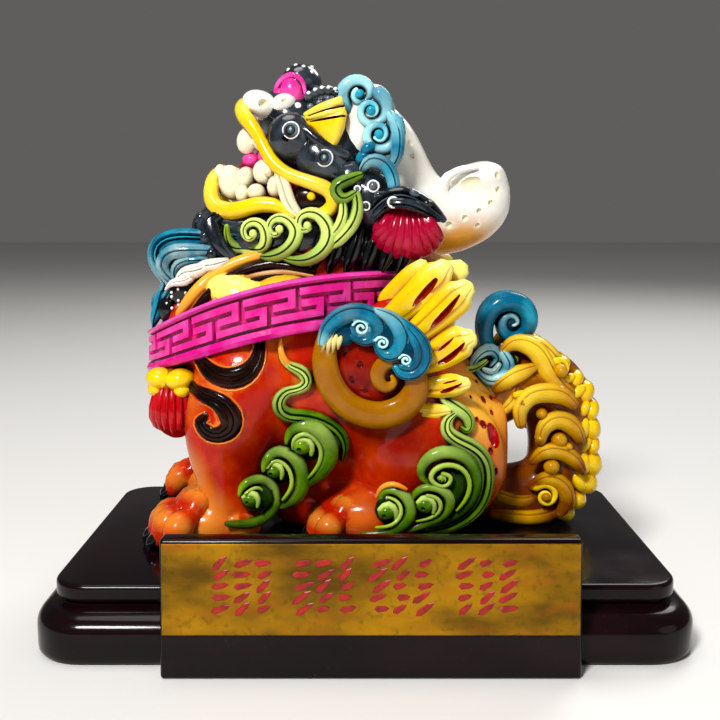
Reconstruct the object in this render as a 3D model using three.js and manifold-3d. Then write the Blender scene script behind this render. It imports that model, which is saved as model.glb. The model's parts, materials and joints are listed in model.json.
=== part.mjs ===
// A pixiu, the winged guardian lion, cast in resin and painted, on a lacquered plinth with a name plate.
// Millimetres, +Z up. The animal looks towards -X, its tail is at +X, and the name plate faces -Y.
// The origin is on the ground, below the middle of the whole piece.
import * as THREE from "three";
import { mergeVertices } from "three/addons/utils/BufferGeometryUtils.js";
import Module from "manifold-3d";

const wasm = await Module();
wasm.setup();

// Plinth: a slab with a rounded foot moulding, and a leaning board that carries the plate.
const PLINTH_WIDTH = 101;
const PLINTH_DEPTH = 64;
const PLINTH_HEIGHT = 11;
const SLAB_INSET_SIDE = 2.6; // how far the slab's edge stands back from the foot moulding
const SLAB_INSET_FRONT = 4.2;
const SLAB_THICKNESS = 3.4;
const COVE_DEPTH = 0.9; // the hollow between slab and moulding
const MOULDING_ROUND = 3; // height of the moulding's rounded shoulder
const FOOT_EASE = 1; // height over which the moulding's foot draws in
const CORNER_RADIUS = 8;
const BOARD_WIDTH = 60.8;
const BOARD_HEIGHT = 20.2;
const BOARD_THICKNESS = 3.2;
const BOARD_LEAN = THREE.MathUtils.degToRad(6.1);
const BOARD_PROUD = 4; // how far the board's foot stands in front of the foot moulding
const BOARD_OFFSET = 0.8; // to the right of the plinth's middle
const BOARD_ROUND = 0.6;

// Name plate: thin sheet brass, glued to the board.
const PLATE_SIDE_MARGIN = 0.4; // board left bare at each end of the plate
const PLATE_WIDTH = BOARD_WIDTH - 2 * PLATE_SIDE_MARGIN;
const PLATE_HEIGHT = 13.2;
const PLATE_THICKNESS = 0.5;
const PLATE_TOP_MARGIN = 0.5; // board left bare above the plate
const GLUE = 0.1;

// Figure: its pose and carving are laid out on a grid of 81 modules to its height.
const FIGURE_HEIGHT = 81;
const MODULES_TALL = 81;
const FIGURE_SETBACK = 6; // its middle plane stands this far behind the slab's
const FIGURE_OFFSET = -0.6; // its grid starts this far to the right of the plinth's middle
const STRIDE = 2.4; // in modules: the far foreleg is set forward by this

// The board stands in front, so the slab's middle lies this far behind the origin.
const SLAB_MIDDLE = BOARD_PROUD / 2;

// Facets: how many sides the round forms have.
const CORNER_STEPS = 3;
const SNAIL_SIDES = 7;
const SNAIL_GROWTH = [0.78, 1.12]; // the rim's reach where its turn starts and where it ends
const SNAIL_HEIGHTS = { foot: -1.6, rim: 0.8, groove: 0, knob: 1.4 };
const NEAR = -1;
const FAR = 1;
const SIDES = [NEAR, FAR];
const FAR_FINENESS = 0.7; // the side turned to the wall is cut plainer

// Seams: points nearer than the gap are drawn together where the faces around them turn little.
const SEAM_GAP = 0.4;
const SEAM_LIKENESS = 0.8; // cosine of the most that a face may turn
const FLAT_LIKENESS = 0.9994;
const SMALLEST_FACE = 1e-3;

// A closed solid from a geometry that holds positions and an index.
function solidOf(geometry) {
  const merged = mergeVertices(geometry);
  const vertProperties = merged.attributes.position.array;
  const triVerts = new Uint32Array(merged.index.array);
  const make = () => new wasm.Manifold(new wasm.Mesh({ numProp: 3, vertProperties, triVerts }));
  const solid = make();
  if (solid.volume() > 0) return solid;
  for (let i = 0; i < triVerts.length; i += 3) {
    const second = triVerts[i + 1];
    triVerts[i + 1] = triVerts[i + 2];
    triVerts[i + 2] = second;
  }
  return make();
}

function geometryOf(solid) {
  const mesh = solid.getMesh();
  const geometry = new THREE.BufferGeometry();
  geometry.setAttribute("position", new THREE.BufferAttribute(mesh.vertProperties, 3));
  geometry.setIndex(new THREE.BufferAttribute(mesh.triVerts, 1));
  return geometry;
}

function join(solids) {
  return solids.reduce((whole, solid) => whole.add(solid));
}

// Draws together the points that a seam between two forms leaves close to each other, and the points
// that lie on a flat face or along a straight edge, because neither adds anything to the shape.
function cleanSeams(geometry) {
  const points = [];
  const position = geometry.attributes.position;
  for (let i = 0; i < position.count; i += 1) {
    points.push(new THREE.Vector3().fromBufferAttribute(position, i));
  }
  const faces = [];
  const around = points.map(() => new Set());
  const index = geometry.index.array;
  for (let i = 0; i < index.length; i += 3) {
    const face = [index[i], index[i + 1], index[i + 2]];
    face.forEach((corner) => around[corner].add(faces.length));
    faces.push(face);
  }
  const normalOf = (corners) => {
    const [a, b, c] = corners.map((corner) => points[corner]);
    return new THREE.Vector3().crossVectors(b.clone().sub(a), c.clone().sub(a));
  };
  const neighbours = (corner) => new Set([...around[corner]].flatMap((f) => faces[f]));
  const fits = (kept, gone) => {
    const length = points[kept].distanceTo(points[gone]);
    const likeness = length < SEAM_GAP ? SEAM_LIKENESS : FLAT_LIKENESS;
    const shared = [...neighbours(kept)].filter((corner) => neighbours(gone).has(corner));
    if (shared.length !== 4) return false; // the two ends and one point on either side
    return [...around[gone]].every((f) => {
      if (faces[f].includes(kept)) return true;
      const before = normalOf(faces[f]);
      const after = normalOf(faces[f].map((corner) => (corner === gone ? kept : corner)));
      if (after.length() < SMALLEST_FACE) return false;
      return before.length() < SMALLEST_FACE || before.normalize().dot(after.normalize()) > likeness;
    });
  };
  const drawTogether = (kept, gone) => {
    [...around[gone]].forEach((f) => {
      if (faces[f].includes(kept)) {
        faces[f].forEach((corner) => around[corner].delete(f));
        faces[f] = null;
      } else {
        faces[f] = faces[f].map((corner) => (corner === gone ? kept : corner));
        around[kept].add(f);
      }
    });
    around[gone].clear();
  };
  let changed = true;
  while (changed) {
    changed = false;
    for (let gone = 0; gone < points.length; gone += 1) {
      const kept = [...neighbours(gone)].find((corner) => corner !== gone && fits(corner, gone));
      if (kept === undefined) continue;
      drawTogether(kept, gone);
      changed = true;
    }
  }
  const cleaned = new THREE.BufferGeometry().setFromPoints(points);
  cleaned.setIndex(faces.filter(Boolean).flat());
  return cleaned;
}

// A skin over rings of points, closed by one point at each end.
function skin(rings, firstPole, lastPole) {
  const sides = rings[0].length;
  const points = [...rings.flat(), firstPole, lastPole];
  const first = points.length - 2;
  const last = points.length - 1;
  const index = [];
  for (let j = 0; j < sides; j += 1) {
    const next = (j + 1) % sides;
    index.push(first, next, j);
    for (let i = 0; i + 1 < rings.length; i += 1) {
      const here = i * sides;
      const there = here + sides;
      index.push(here + j, here + next, there + next);
      index.push(here + j, there + next, there + j);
    }
    const end = (rings.length - 1) * sides;
    index.push(last, end + j, end + next);
  }
  const geometry = new THREE.BufferGeometry().setFromPoints(points);
  geometry.setIndex(index);
  return solidOf(geometry);
}

// A value read along a list of evenly spaced values.
function along(values, t) {
  if (!Array.isArray(values)) return values;
  const place = t * (values.length - 1);
  const i = Math.min(Math.floor(place), values.length - 2);
  return THREE.MathUtils.lerp(values[i], values[i + 1], place - i);
}

// A rounded lock that follows a smooth curve. depth is its half-width across the curve's plane,
// as a share of its radius; across is the direction that its depth points in.
function lock(points, radii, options = {}) {
  const { sides = 6, steps = 12, depth = 1, across = [0, 1, 0], cap = 0.6 } = options;
  const places = points.map((p) => new THREE.Vector3(...p));
  const curve = new THREE.CatmullRomCurve3(places, false, "centripetal");
  const side = new THREE.Vector3(...across).normalize();
  const rings = [];
  for (let i = 0; i <= steps; i += 1) {
    const t = i / steps;
    const centre = curve.getPointAt(t);
    const tangent = curve.getTangentAt(t);
    const up = new THREE.Vector3().crossVectors(side, tangent).normalize();
    const out = new THREE.Vector3().crossVectors(tangent, up).normalize();
    const radius = along(radii, t);
    const ring = [];
    for (let j = 0; j < sides; j += 1) {
      const angle = ((j + 0.5) / sides) * 2 * Math.PI;
      const point = centre.clone();
      point.addScaledVector(up, radius * Math.cos(angle));
      point.addScaledVector(out, radius * depth * Math.sin(angle));
      ring.push(point);
    }
    rings.push(ring);
  }
  const start = curve.getPointAt(0).addScaledVector(curve.getTangentAt(0), -cap * along(radii, 0));
  const end = curve.getPointAt(1).addScaledVector(curve.getTangentAt(1), cap * along(radii, 1));
  return skin(rings, start, end);
}

// An egg-shaped mass: its centre, its three half-lengths, and its turn about Y in degrees.
function mass(centre, halves, turn = 0, fineness = [10, 7]) {
  const geometry = new THREE.SphereGeometry(1, fineness[0], fineness[1]);
  geometry.deleteAttribute("normal");
  geometry.deleteAttribute("uv");
  geometry.rotateX(Math.PI / 2);
  geometry.scale(...halves);
  geometry.rotateY(THREE.MathUtils.degToRad(turn));
  geometry.translate(...centre);
  return solidOf(geometry);
}

// The points of a scroll that winds inwards about a centre, in the plane of X and Z.
// from is the angle in degrees where it starts; a negative turn winds the other way.
function scroll([x, y, z], outer, inner, from, turns) {
  const count = Math.ceil(Math.abs(turns) * 8);
  const points = [];
  for (let i = 0; i <= count; i += 1) {
    const t = i / count;
    const angle = THREE.MathUtils.degToRad(from) + turns * 2 * Math.PI * t;
    const radius = THREE.MathUtils.lerp(outer, inner, t);
    points.push([x + radius * Math.cos(angle), y, z + radius * Math.sin(angle)]);
  }
  return points;
}

// A tight scroll cut as a snail: a boss whose rim grows around one turn and steps back at the angle
// from, in degrees, with a groove around its knob. It faces side and stands on y.
function snail([x, y, z], radius, side, from, hand = 1) {
  const sides = fine(side, SNAIL_SIDES);
  const { foot, rim, groove, knob } = SNAIL_HEIGHTS;
  const ring = (share, out) => {
    const points = [];
    for (let j = 0; j < sides; j += 1) {
      const angle = THREE.MathUtils.degToRad(from) + hand * (j / sides) * 2 * Math.PI;
      const reach = radius * share * THREE.MathUtils.lerp(...SNAIL_GROWTH, j / (sides - 1));
      const point = new THREE.Vector3(x, y + out * side, z);
      point.x += reach * Math.cos(angle);
      point.z += reach * Math.sin(angle);
      points.push(point);
    }
    return points;
  };
  const rings = [ring(1, foot), ring(0.84, rim), ring(0.42, groove)];
  return skin(rings, new THREE.Vector3(x, y + foot * side, z), new THREE.Vector3(x, y + knob * side, z));
}

// How finely a form is cut on each side of the figure.
function fine(side, steps) {
  return side === FAR ? Math.ceil(steps * FAR_FINENESS) : steps;
}

// Body and limbs

function trunk() {
  const stations = [
    { x: -28, z: 28, width: 11, height: 11 },
    { x: -20, z: 27, width: 15.4, height: 18 },
    { x: -6, z: 25.5, width: 16.4, height: 19.5 },
    { x: 6, z: 22.5, width: 16.2, height: 18.5 },
    { x: 17, z: 17.5, width: 14, height: 14 },
    { x: 24.6, z: 14.5, width: 10, height: 10.5 },
  ];
  const sides = 10;
  const rings = stations.map(({ x, z, width, height }) => {
    const ring = [];
    for (let j = 0; j < sides; j += 1) {
      const angle = ((j + 0.5) / sides) * 2 * Math.PI;
      ring.push(new THREE.Vector3(x, width * Math.cos(angle), z + height * Math.sin(angle)));
    }
    return ring;
  });
  const chest = mass([-18, 0, 34], [17.4, 15.8, 15], 0, [12, 7]);
  const neckPath = [[-7, 0, 38], [-6.5, 0, 47], [-4, 0, 57]];
  const neck = lock(neckPath, [15, 13, 10.4], { sides: 8, steps: 2, depth: 0.86 });
  const belly = mass([-4, 0, 6], [24, 13, 9], 0, [8, 5]);
  return [skin(rings, new THREE.Vector3(-31, 0, 28), new THREE.Vector3(28, 0, 14.5)), chest, neck, belly];
}

function foreleg(side) {
  const y = 13 * side;
  const spread = 1.06;
  const step = side === FAR ? -STRIDE : 0;
  const armPath = [[-19, y * 0.9, 27], [-22 + step / 2, y, 18], [-24.6 + step, y * spread, 7]];
  const arm = lock(armPath, [9.4, 8.4, 6.6], { sides: 7, steps: 3, depth: 0.75 });
  const paw = mass([-27 + step, y * spread, 4], [8.2, 6.2, 5], 0, [8, 4]);
  const toes = [-4.4, -0.6, 3.2].map((offset, i) => {
    const across = y * spread + offset;
    const back = i * i * 0.3 + step;
    const root = [-28 + step, across, 6];
    const path = [root, [-32.2 + back, across, 6.6], [-34.6 + back, across, 3.6], [-36 + back, across, 1]];
    return lock(path, [1.8, 2.5, 2.1, 1], { steps: 3, sides: 4 });
  });
  return [arm, paw, ...toes];
}

function hindleg(side) {
  const y = 12.5 * side;
  const thigh = mass([12, y * 0.92, 13.5], [13, 5.6, 12.5], 0, [10, 6]);
  const shank = mass([2, y, 4.4], [9.4, 5.4, 5.2], 0, [8, 4]);
  const toes = [-3.4, 0, 3.2].map((offset, i) => {
    const across = y * 1.1 + offset;
    const back = i * 0.5;
    const path = [[-2, across, 5.8], [-6.4 + back, across, 5.4], [-8.2 + back, across, 1.6]];
    return lock(path, [1.8, 2.4, 1.6], { steps: 2, sides: 4 });
  });
  return [thigh, shank, ...toes];
}

// Head

function head() {
  const skull = mass([-3, 0, 65.5], [9.6, 9.6, 10], 0, [10, 6]);
  const muzzle = mass([-11, 0, 70.2], [8, 7.4, 5.8], 38, [8, 5]);
  const jawPath = [[0, 0, 53], [-14, 0, 52.6], [-26.8, 0, 54.4]];
  const jaw = lock(jawPath, [5, 4.6, 3.4], { sides: 8, steps: 3, depth: 2 });
  const tongue = mass([-14.4, 0, 60.4], [8.4, 6, 6.4], 30, [6, 4]);
  const hood = mass([-10.2, 0, 77.6], [3.9, 5.4, 3.4], 20, [8, 5]);
  return [skull, muzzle, jaw, tongue, hood];
}

// The lips: a band on each side, from the middle of the upper lip around the mouth's corner.
function lips() {
  const path = [
    [-20.2, 0.6, 72.4], [-19.8, 3.4, 71.8], [-18.2, 6.4, 69.6], [-15.6, 8.2, 66], [-13, 9.4, 62.6],
    [-9, 10.4, 60.6], [-5.4, 10.8, 59.2], [-4, 10.6, 57], [-6.4, 10.2, 54.8], [-11.6, 9.4, 56.4],
    [-16.6, 8.6, 58.2], [-19.6, 7.8, 56.4], [-24, 6.2, 55.8], [-26.4, 0.6, 57.8],
  ];
  const radii = [1.5, 1.4, 1.3, 1.3, 1.4, 1.5, 1.4, 1.3];
  return SIDES.map((side) => {
    const half = path.map(([x, y, z]) => [x, y * side, z]);
    return lock(half, radii, { sides: 4, steps: fine(side, 20), across: [0.35, 1, 0] });
  });
}

function face(side) {
  const s = side;
  const nostril = mass([-11.6, 2.5 * s, 75.5], [2.4, 2.5, 2.5], 0, [6, 4]);
  const pad = mass([-15, 2.8 * s, 73], [5.2, 4, 3.1], 14, [6, 4]);
  const cheek = mass([-7.4, 7 * s, 65.8], [9, 3.8, 5.8], 38, [8, 4]);
  const teeth = [
    { at: [-18.2, 4.6 * s, 67], halves: [2.6, 2, 2.8] },
    { at: [-16.2, 6 * s, 62.6], halves: [2.4, 1.8, 2.8] },
    { at: [-20.2, 5 * s, 60], halves: [3, 2.6, 3.8] },
    { at: [-24.6, 3.4 * s, 60], halves: [2.4, 2.4, 2.8] },
  ].map(({ at, halves }) => mass(at, halves, 0, [5, 3]));
  const studPlaces = [[-11.6, 9.4 * s, 68.4], [-6.2, 10.5 * s, 63.9]];
  const studs = studPlaces.map((at) => mass(at, [2, 1.7, 2], 0, [6, 3]));
  const lidPath = [[-9.6, 7 * s, 71], [-2.2, 9.2 * s, 69.8]];
  const eyelid = lock(lidPath, [1.2, 4.2], { sides: 4, steps: 1, depth: 0.5, cap: 0.1 });
  const lash = lock([[-9.4, 6.6 * s, 72.4], [-1.4, 8.2 * s, 74.8]], [0.9, 1.2], { sides: 4, steps: 1 });
  return [nostril, pad, cheek, ...teeth, ...studs, eyelid, lash];
}

// The horn lies back over the nape and turns up to a thick blunt tip.
function horn() {
  const path = [
    [0, 0, 73], [3.4, 0, 66.6], [6.4, 0, 59], [12, 0, 54.8], [17.4, 0, 55], [21.2, 0, 57.6], [21.6, 0, 60],
  ];
  const shaft = lock(path, [4, 6.6, 7.6, 6.8, 6, 5.2, 4.4], { sides: 8, steps: 8, depth: 0.86, cap: 0.3 });
  const tip = mass([20.2, 0, 61], [5.4, 4.8, 3.2], -16, [8, 5]);
  const nape = mass([5.4, 0, 53], [8, 8.4, 9.5], -20, [8, 5]);
  return [shaft, tip, nape];
}

function ear(side) {
  const s = side;
  const shell = mass([8, 10.4 * s, 52.6], [6, 2.9, 3.8], 8, [8, 4]);
  const rimPath = [[2.4, 10 * s, 57.6], [7.6, 12.4 * s, 56.6], [13.8, 11.6 * s, 54.2]];
  const rim = lock(rimPath, [1.9, 1.6, 0.8], { steps: 3, sides: 4 });
  const bump = mass([0.4, 10.4 * s, 58.4], [2.8, 1.9, 3.6], 0, [6, 3]);
  return [shell, rim, bump];
}

function mane(side) {
  const s = side;
  const curls = [
    snail([-0.8, 7 * s, 75.2], 2.6, side, 200, -1),
    snail([1.4, 8.8 * s, 71.8], 3.5, side, 60, -1),
    snail([3, 9.8 * s, 67], 3.2, side, 40, -1),
  ];
  const backPath = [[-0.4, 5.4 * s, 76], [3, 6.8 * s, 71.4], [5.4, 8.4 * s, 62]];
  const backing = lock(backPath, [2.6, 3.8, 2], { steps: 2, sides: 4, depth: 0.7 });
  const strandPath = [[0.4, 9.6 * s, 63.8], [4.2, 11 * s, 62.8], [5.4, 11 * s, 58]];
  const strand = lock(strandPath, [1, 1.8, 0.8], { steps: 3, sides: 4 });
  return [...curls, backing, strand];
}

// Three snails under the jaw, and the strand that runs down to them from the ear.
function jawCurls(side) {
  const s = side;
  const curls = [
    { eye: [-18.2, 9 * s, 51], radius: 2.6 },
    { eye: [-13.4, 10 * s, 51.4], radius: 2.8 },
    { eye: [-8.4, 10.8 * s, 52], radius: 3.2 },
  ].map(({ eye, radius }) => snail(eye, radius, side, -60, 1));
  const path = [[1, 10, 61.6], [-3.4, 11.2, 59.8], [-2.4, 11.4, 54.4], [-9, 11, 48.2], [-16, 10, 47]];
  const placed = path.map(([x, y, z]) => [x, y * s, z]);
  const strand = lock(placed, [1, 1.5, 1.4, 1.4, 0.8], { steps: fine(side, 7), sides: 4 });
  return [...curls, strand];
}

function beard() {
  const path = [
    [-27, 0, 51], [-32, 0, 51], [-35.6, 0, 49.2], [-36, 0, 46], [-34, 0, 43], [-35.6, 0, 40],
    [-36.4, 0, 37],
  ];
  const ribbon = lock(path, [2, 2.3, 2.2, 2, 2, 2, 1.3], { sides: 6, steps: 9, depth: 3 });
  const fill = mass([-28, 0, 44], [6.4, 8.8, 7.8], 20, [8, 4]);
  return [ribbon, fill];
}

// Harness

// The collar is a band around the neck's root, low at the breast and high at the shoulders.
function collar() {
  const middle = -14.5;
  const halfLength = 21.8;
  const halfWidth = 16.8;
  const steps = 22;
  const heightAt = (t) => 40 + 5 * t - 3.6 * t * t;
  const spreadAt = (t) => 1 - 0.32 * Math.max(-0.4 - t, 0) ** 1.2; // it narrows towards the breast
  const section = [[-1, 3.4], [1.2, 3.4], [0.5, 2.2], [0.5, -2.2], [1.5, -3], [1.5, -4.4], [-1, -4.4]];
  const points = [];
  const index = [];
  const around = section.length;
  for (let i = 0; i < steps; i += 1) {
    const angle = (i / steps) * 2 * Math.PI;
    const t = Math.cos(angle);
    const x = middle + halfLength * t;
    const outwards = new THREE.Vector3(Math.cos(angle) / halfLength, Math.sin(angle) / halfWidth, 0);
    outwards.normalize();
    section.forEach(([out, up]) => {
      const point = new THREE.Vector3(x, halfWidth * Math.sin(angle), heightAt(t) + up * spreadAt(t));
      points.push(point.addScaledVector(outwards, out));
    });
    const here = i * around;
    const there = ((i + 1) % steps) * around;
    for (let j = 0; j < around; j += 1) {
      const next = (j + 1) % around;
      index.push(here + j, there + j, there + next, here + j, there + next, here + next);
    }
  }
  const geometry = new THREE.BufferGeometry().setFromPoints(points);
  geometry.setIndex(index);
  return [solidOf(geometry)];
}

function tassel() {
  const cap = mass([-33.8, -4, 27.2], [4.8, 4.8, 3.2], 0, [6, 4]);
  const fringePath = [[-33.4, -4, 25], [-33.8, -4, 21.6], [-32.8, -4, 18.6]];
  const fringe = lock(fringePath, [3.8, 4.6, 3], { sides: 6, steps: 2 });
  return [cap, fringe];
}

// Flames on the legs: a stem with snails along its inner bend.
function flames(side, { stem, radii, snails }) {
  const place = ([x, y, z]) => [x, y * side, z];
  const rib = lock(stem.map(place), radii, { steps: fine(side, 10), sides: 4, depth: 1.4 });
  return [rib, ...snails.map(({ eye, radius, from }) => snail(place(eye), radius, side, from, -1))];
}

function elbowFlames(side) {
  return flames(side, {
    stem: [
      [-13.4, 15.4, 34.4], [-12.8, 16.4, 32], [-9.6, 17, 29.6], [-12.6, 17.2, 26.8], [-11, 17.2, 24],
      [-4.6, 17.2, 21], [-3.8, 16.8, 16.6], [-6.6, 16.4, 11.4], [-12, 16.6, 6.6], [-20, 17, 4.6],
    ],
    radii: [0.6, 1.2, 2, 1.8, 1.8, 2, 2, 1.8, 1.5, 0.9],
    snails: [
      { eye: [-9.2, 17.6, 17.8], radius: 4.8, from: -90 },
      { eye: [-13.6, 17.8, 13], radius: 4, from: -90 },
      { eye: [-17.6, 18, 8.4], radius: 3.5, from: -90 },
    ],
  });
}

function hipFlames(side) {
  return flames(side, {
    stem: [
      [11.4, 15, 28], [14, 16, 25.4], [17, 16.2, 22.8], [15.2, 16.8, 20.4], [19.2, 16, 17],
      [19.6, 15.6, 11], [16.4, 15.8, 6.2], [10, 16.6, 3.4], [2, 17.2, 3.2],
    ],
    radii: [0.7, 1.5, 2, 1.8, 2.1, 2.1, 1.9, 1.6, 1],
    snails: [
      { eye: [13, 17, 13.2], radius: 4.8, from: -80 },
      { eye: [9.8, 17.6, 7.8], radius: 3.4, from: -80 },
      { eye: [4.6, 17.8, 6.4], radius: 3, from: -80 },
    ],
  });
}

// Wings

function wing(side) {
  const s = side;
  const ringPath = [
    [-5.4, 17.4, 36], [-6.4, 17.8, 32], [-5.4, 18, 27.4], [-2, 18, 23.4],
    [3, 18, 22.4], [7.6, 17.8, 24.6], [9.6, 17.4, 29],
  ];
  const placed = ringPath.map(([x, y, z]) => [x, y * s, z]);
  const ring = lock(placed, [1.6, 2.1, 2.3, 2.3, 2.3, 2, 1.4], { steps: fine(side, 8), sides: 5 });
  const disc = mass([1.8, 14.4 * s, 30.4], [8.2, 4, 8], 0, [8, 4]);
  const snails = [
    snail([2.6, 17.6 * s, 29.2], 2.8, side, 60, -1),
    snail([-0.2, 18.6 * s, 37], 4.6, side, -60, -1),
    snail([4.2, 18.2 * s, 35.2], 3.2, side, -60, -1),
    snail([7.6, 17.8 * s, 32.2], 3.8, side, -60, -1),
  ];
  return [ring, disc, ...snails, fan(side)];
}

// The wing's feathers: a fan of ridged blades with blunt tips, cut from one plate.
const VALLEY_REACH = 0.9; // how far the valley between two blades runs, as a share of their reach

function fan(side) {
  const blades = [
    { angle: 56, reach: 17 }, { angle: 46, reach: 21.6 }, { angle: 34, reach: 22 },
    { angle: 20, reach: 20.6 }, { angle: 4, reach: 19 }, { angle: -13, reach: 16.4 },
  ];
  const root = [1, 31];
  const rootRadius = 1.6; // it lies inside the shoulder
  const rows = [0, 0.5, 0.8, 1];
  const heightsAt = (edge) => (edge ? [14, 14.2, 12.8, 11.4] : [14, 16, 14.8, 12.6]);
  const columns = [];
  const tipSpread = 3.2; // half the angle over which a blade's end is blunt
  blades.forEach(({ angle, reach }, i) => {
    const next = blades[i + 1];
    const tips = side === FAR ? [0] : [tipSpread, -tipSpread];
    tips.forEach((turn) => columns.push({ angle: angle + turn, reach, edge: false }));
    if (!next) return;
    const valley = Math.min(reach, next.reach) * VALLEY_REACH;
    columns.push({ angle: (angle + next.angle) / 2, reach: valley, edge: true });
  });
  const pad = 7; // angle from the outer blades to the plate's edges
  columns.unshift({ angle: blades[0].angle + pad, reach: blades[0].reach * 0.8, edge: true });
  columns.push({ angle: blades.at(-1).angle - pad, reach: blades.at(-1).reach * 0.8, edge: true });
  const backAt = [9.6, 6];
  const point = ({ angle, reach }, share, y) => {
    const turn = THREE.MathUtils.degToRad(angle);
    const radius = THREE.MathUtils.lerp(rootRadius, reach, share);
    const [x, z] = [radius * Math.cos(turn), radius * Math.sin(turn)];
    return new THREE.Vector3(root[0] + x, y * side, root[1] + z);
  };
  // Each ring runs around the plate: out along the face and home along the back.
  const rings = columns.map((column) => {
    const heights = heightsAt(column.edge);
    const face = rows.map((share, i) => point(column, share, heights[i]));
    const back = [rows.at(-1), rows[0]].map((share, i) => point(column, share, backAt[i]));
    return [...face, ...back];
  });
  const middle = (ring) => {
    const sum = ring.reduce((total, point) => total.add(point), new THREE.Vector3());
    return sum.divideScalar(ring.length);
  };
  return skin(rings, middle(rings[0]), middle(rings.at(-1)));
}

// Tail

function tail() {
  const corePath = [
    [21, 0, 22], [28.4, 0, 25.6], [33.6, 0, 24.8], [37, 0, 19.4],
    [37.4, 0, 12.4], [35, 0, 6], [29.6, 0, 3.8], [21, 0, 4.4],
  ];
  const coreRadii = [6.4, 6.4, 6.4, 6.2, 5.8, 5, 4.4, 4.6];
  const core = lock(corePath, coreRadii, { sides: 8, steps: 10, depth: 1.05 });
  const crestPath = [[25, 0, 30.4], [30.4, 0, 30.8], [36.4, 0, 26]];
  const crest = lock(crestPath, [1.8, 2.4, 1.6], { steps: 3, sides: 5, depth: 1.6 });
  const bumpPlaces = [[39.8, 0, 23.4], [41.4, 0, 16.6], [40.8, 0, 9.4]];
  const bumps = bumpPlaces.map((at) => mass(at, [2.4, 4.6, 3], 0, [6, 4]));
  const curl = lock(
    [[23.4, 0, 27], [22.6, 0, 32.4], ...scroll([26.6, 0, 36.8], 4.2, 1.6, 165, -0.95)],
    [2.2, 2, 2, 2, 1.8, 1.3],
    { sides: 5, steps: 10, depth: 1.9 },
  );
  const eye = mass([26.8, 0, 36.8], [1.6, 3.2, 1.6], 0, [6, 4]);
  const knot = mass([23.4, 0, 28.6], [3, 4.8, 3], 0, [6, 4]);
  return [core, crest, ...bumps, curl, eye, knot];
}

function tailLocks(side) {
  return [
    { eye: [28.6, 6, 22.4], radius: 3, from: 10 },
    { eye: [32.6, 6.4, 18.8], radius: 3.4, from: -10 },
    { eye: [34.4, 6, 12.6], radius: 3.4, from: -40 },
    { eye: [32.8, 5, 6.4], radius: 3, from: -80 },
  ].map(({ eye: [x, y, z], radius, from }) => snail([x, y * side, z], radius, side, from, 1));
}

function figureSolid() {
  const middle = [trunk, head, lips, horn, beard, collar, tassel, tail].flatMap((form) => form());
  const paired = [foreleg, hindleg, face, ear, mane, jawCurls, elbowFlames, hipFlames, wing, tailLocks];
  const sides = SIDES.flatMap((side) => paired.flatMap((form) => form(side)));
  const whole = join([...middle, ...sides]);
  const ground = new THREE.BoxGeometry(MODULES_TALL * 2, MODULES_TALL * 2, MODULES_TALL);
  ground.deleteAttribute("normal");
  ground.deleteAttribute("uv");
  ground.translate(0, 0, -MODULES_TALL / 2);
  return whole.subtract(solidOf(ground));
}

// A rounded rectangle in plan, as points anticlockwise from the right of the front edge.
function roundedPlan(width, depth, radius) {
  const points = [];
  const corners = [[1, -1], [1, 1], [-1, 1], [-1, -1]];
  corners.forEach(([right, back], corner) => {
    for (let i = 0; i <= CORNER_STEPS; i += 1) {
      const angle = (corner - 1 + i / CORNER_STEPS) * (Math.PI / 2);
      const x = right * (width / 2 - radius) + radius * Math.cos(angle);
      const y = back * (depth / 2 - radius) + radius * Math.sin(angle);
      points.push([x, y]);
    }
  });
  return points;
}

// The plinth's profile from the ground up: how far each height stands back towards the slab's edge,
// as a share of the slab's inset, and the height.
function plinthProfile() {
  const moulding = PLINTH_HEIGHT - SLAB_THICKNESS;
  const profile = [[0.3, 0], [0, FOOT_EASE]];
  const steps = 4;
  for (let i = 0; i <= steps; i += 1) {
    const angle = (i / steps) * (Math.PI / 2);
    profile.push([1 - Math.cos(angle), moulding - MOULDING_ROUND * (1 - Math.sin(angle))]);
  }
  profile.push([1.2, moulding + COVE_DEPTH * 0.3]);
  profile.push([1, moulding + COVE_DEPTH]);
  profile.push([1, PLINTH_HEIGHT - BOARD_ROUND]);
  profile.push([1.15, PLINTH_HEIGHT]);
  return profile;
}

function plinthSolid() {
  const rings = plinthProfile().map(([share, height]) => {
    const side = share * SLAB_INSET_SIDE;
    const front = share * SLAB_INSET_FRONT;
    const plan = roundedPlan(PLINTH_WIDTH - 2 * side, PLINTH_DEPTH - 2 * front, CORNER_RADIUS - side);
    return plan.map(([x, y]) => new THREE.Vector3(x, y + SLAB_MIDDLE, height));
  });
  const foot = new THREE.Vector3(0, SLAB_MIDDLE, 0);
  const top = new THREE.Vector3(0, SLAB_MIDDLE, PLINTH_HEIGHT);
  return skin(rings, foot, top).add(boardSolid());
}

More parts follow.
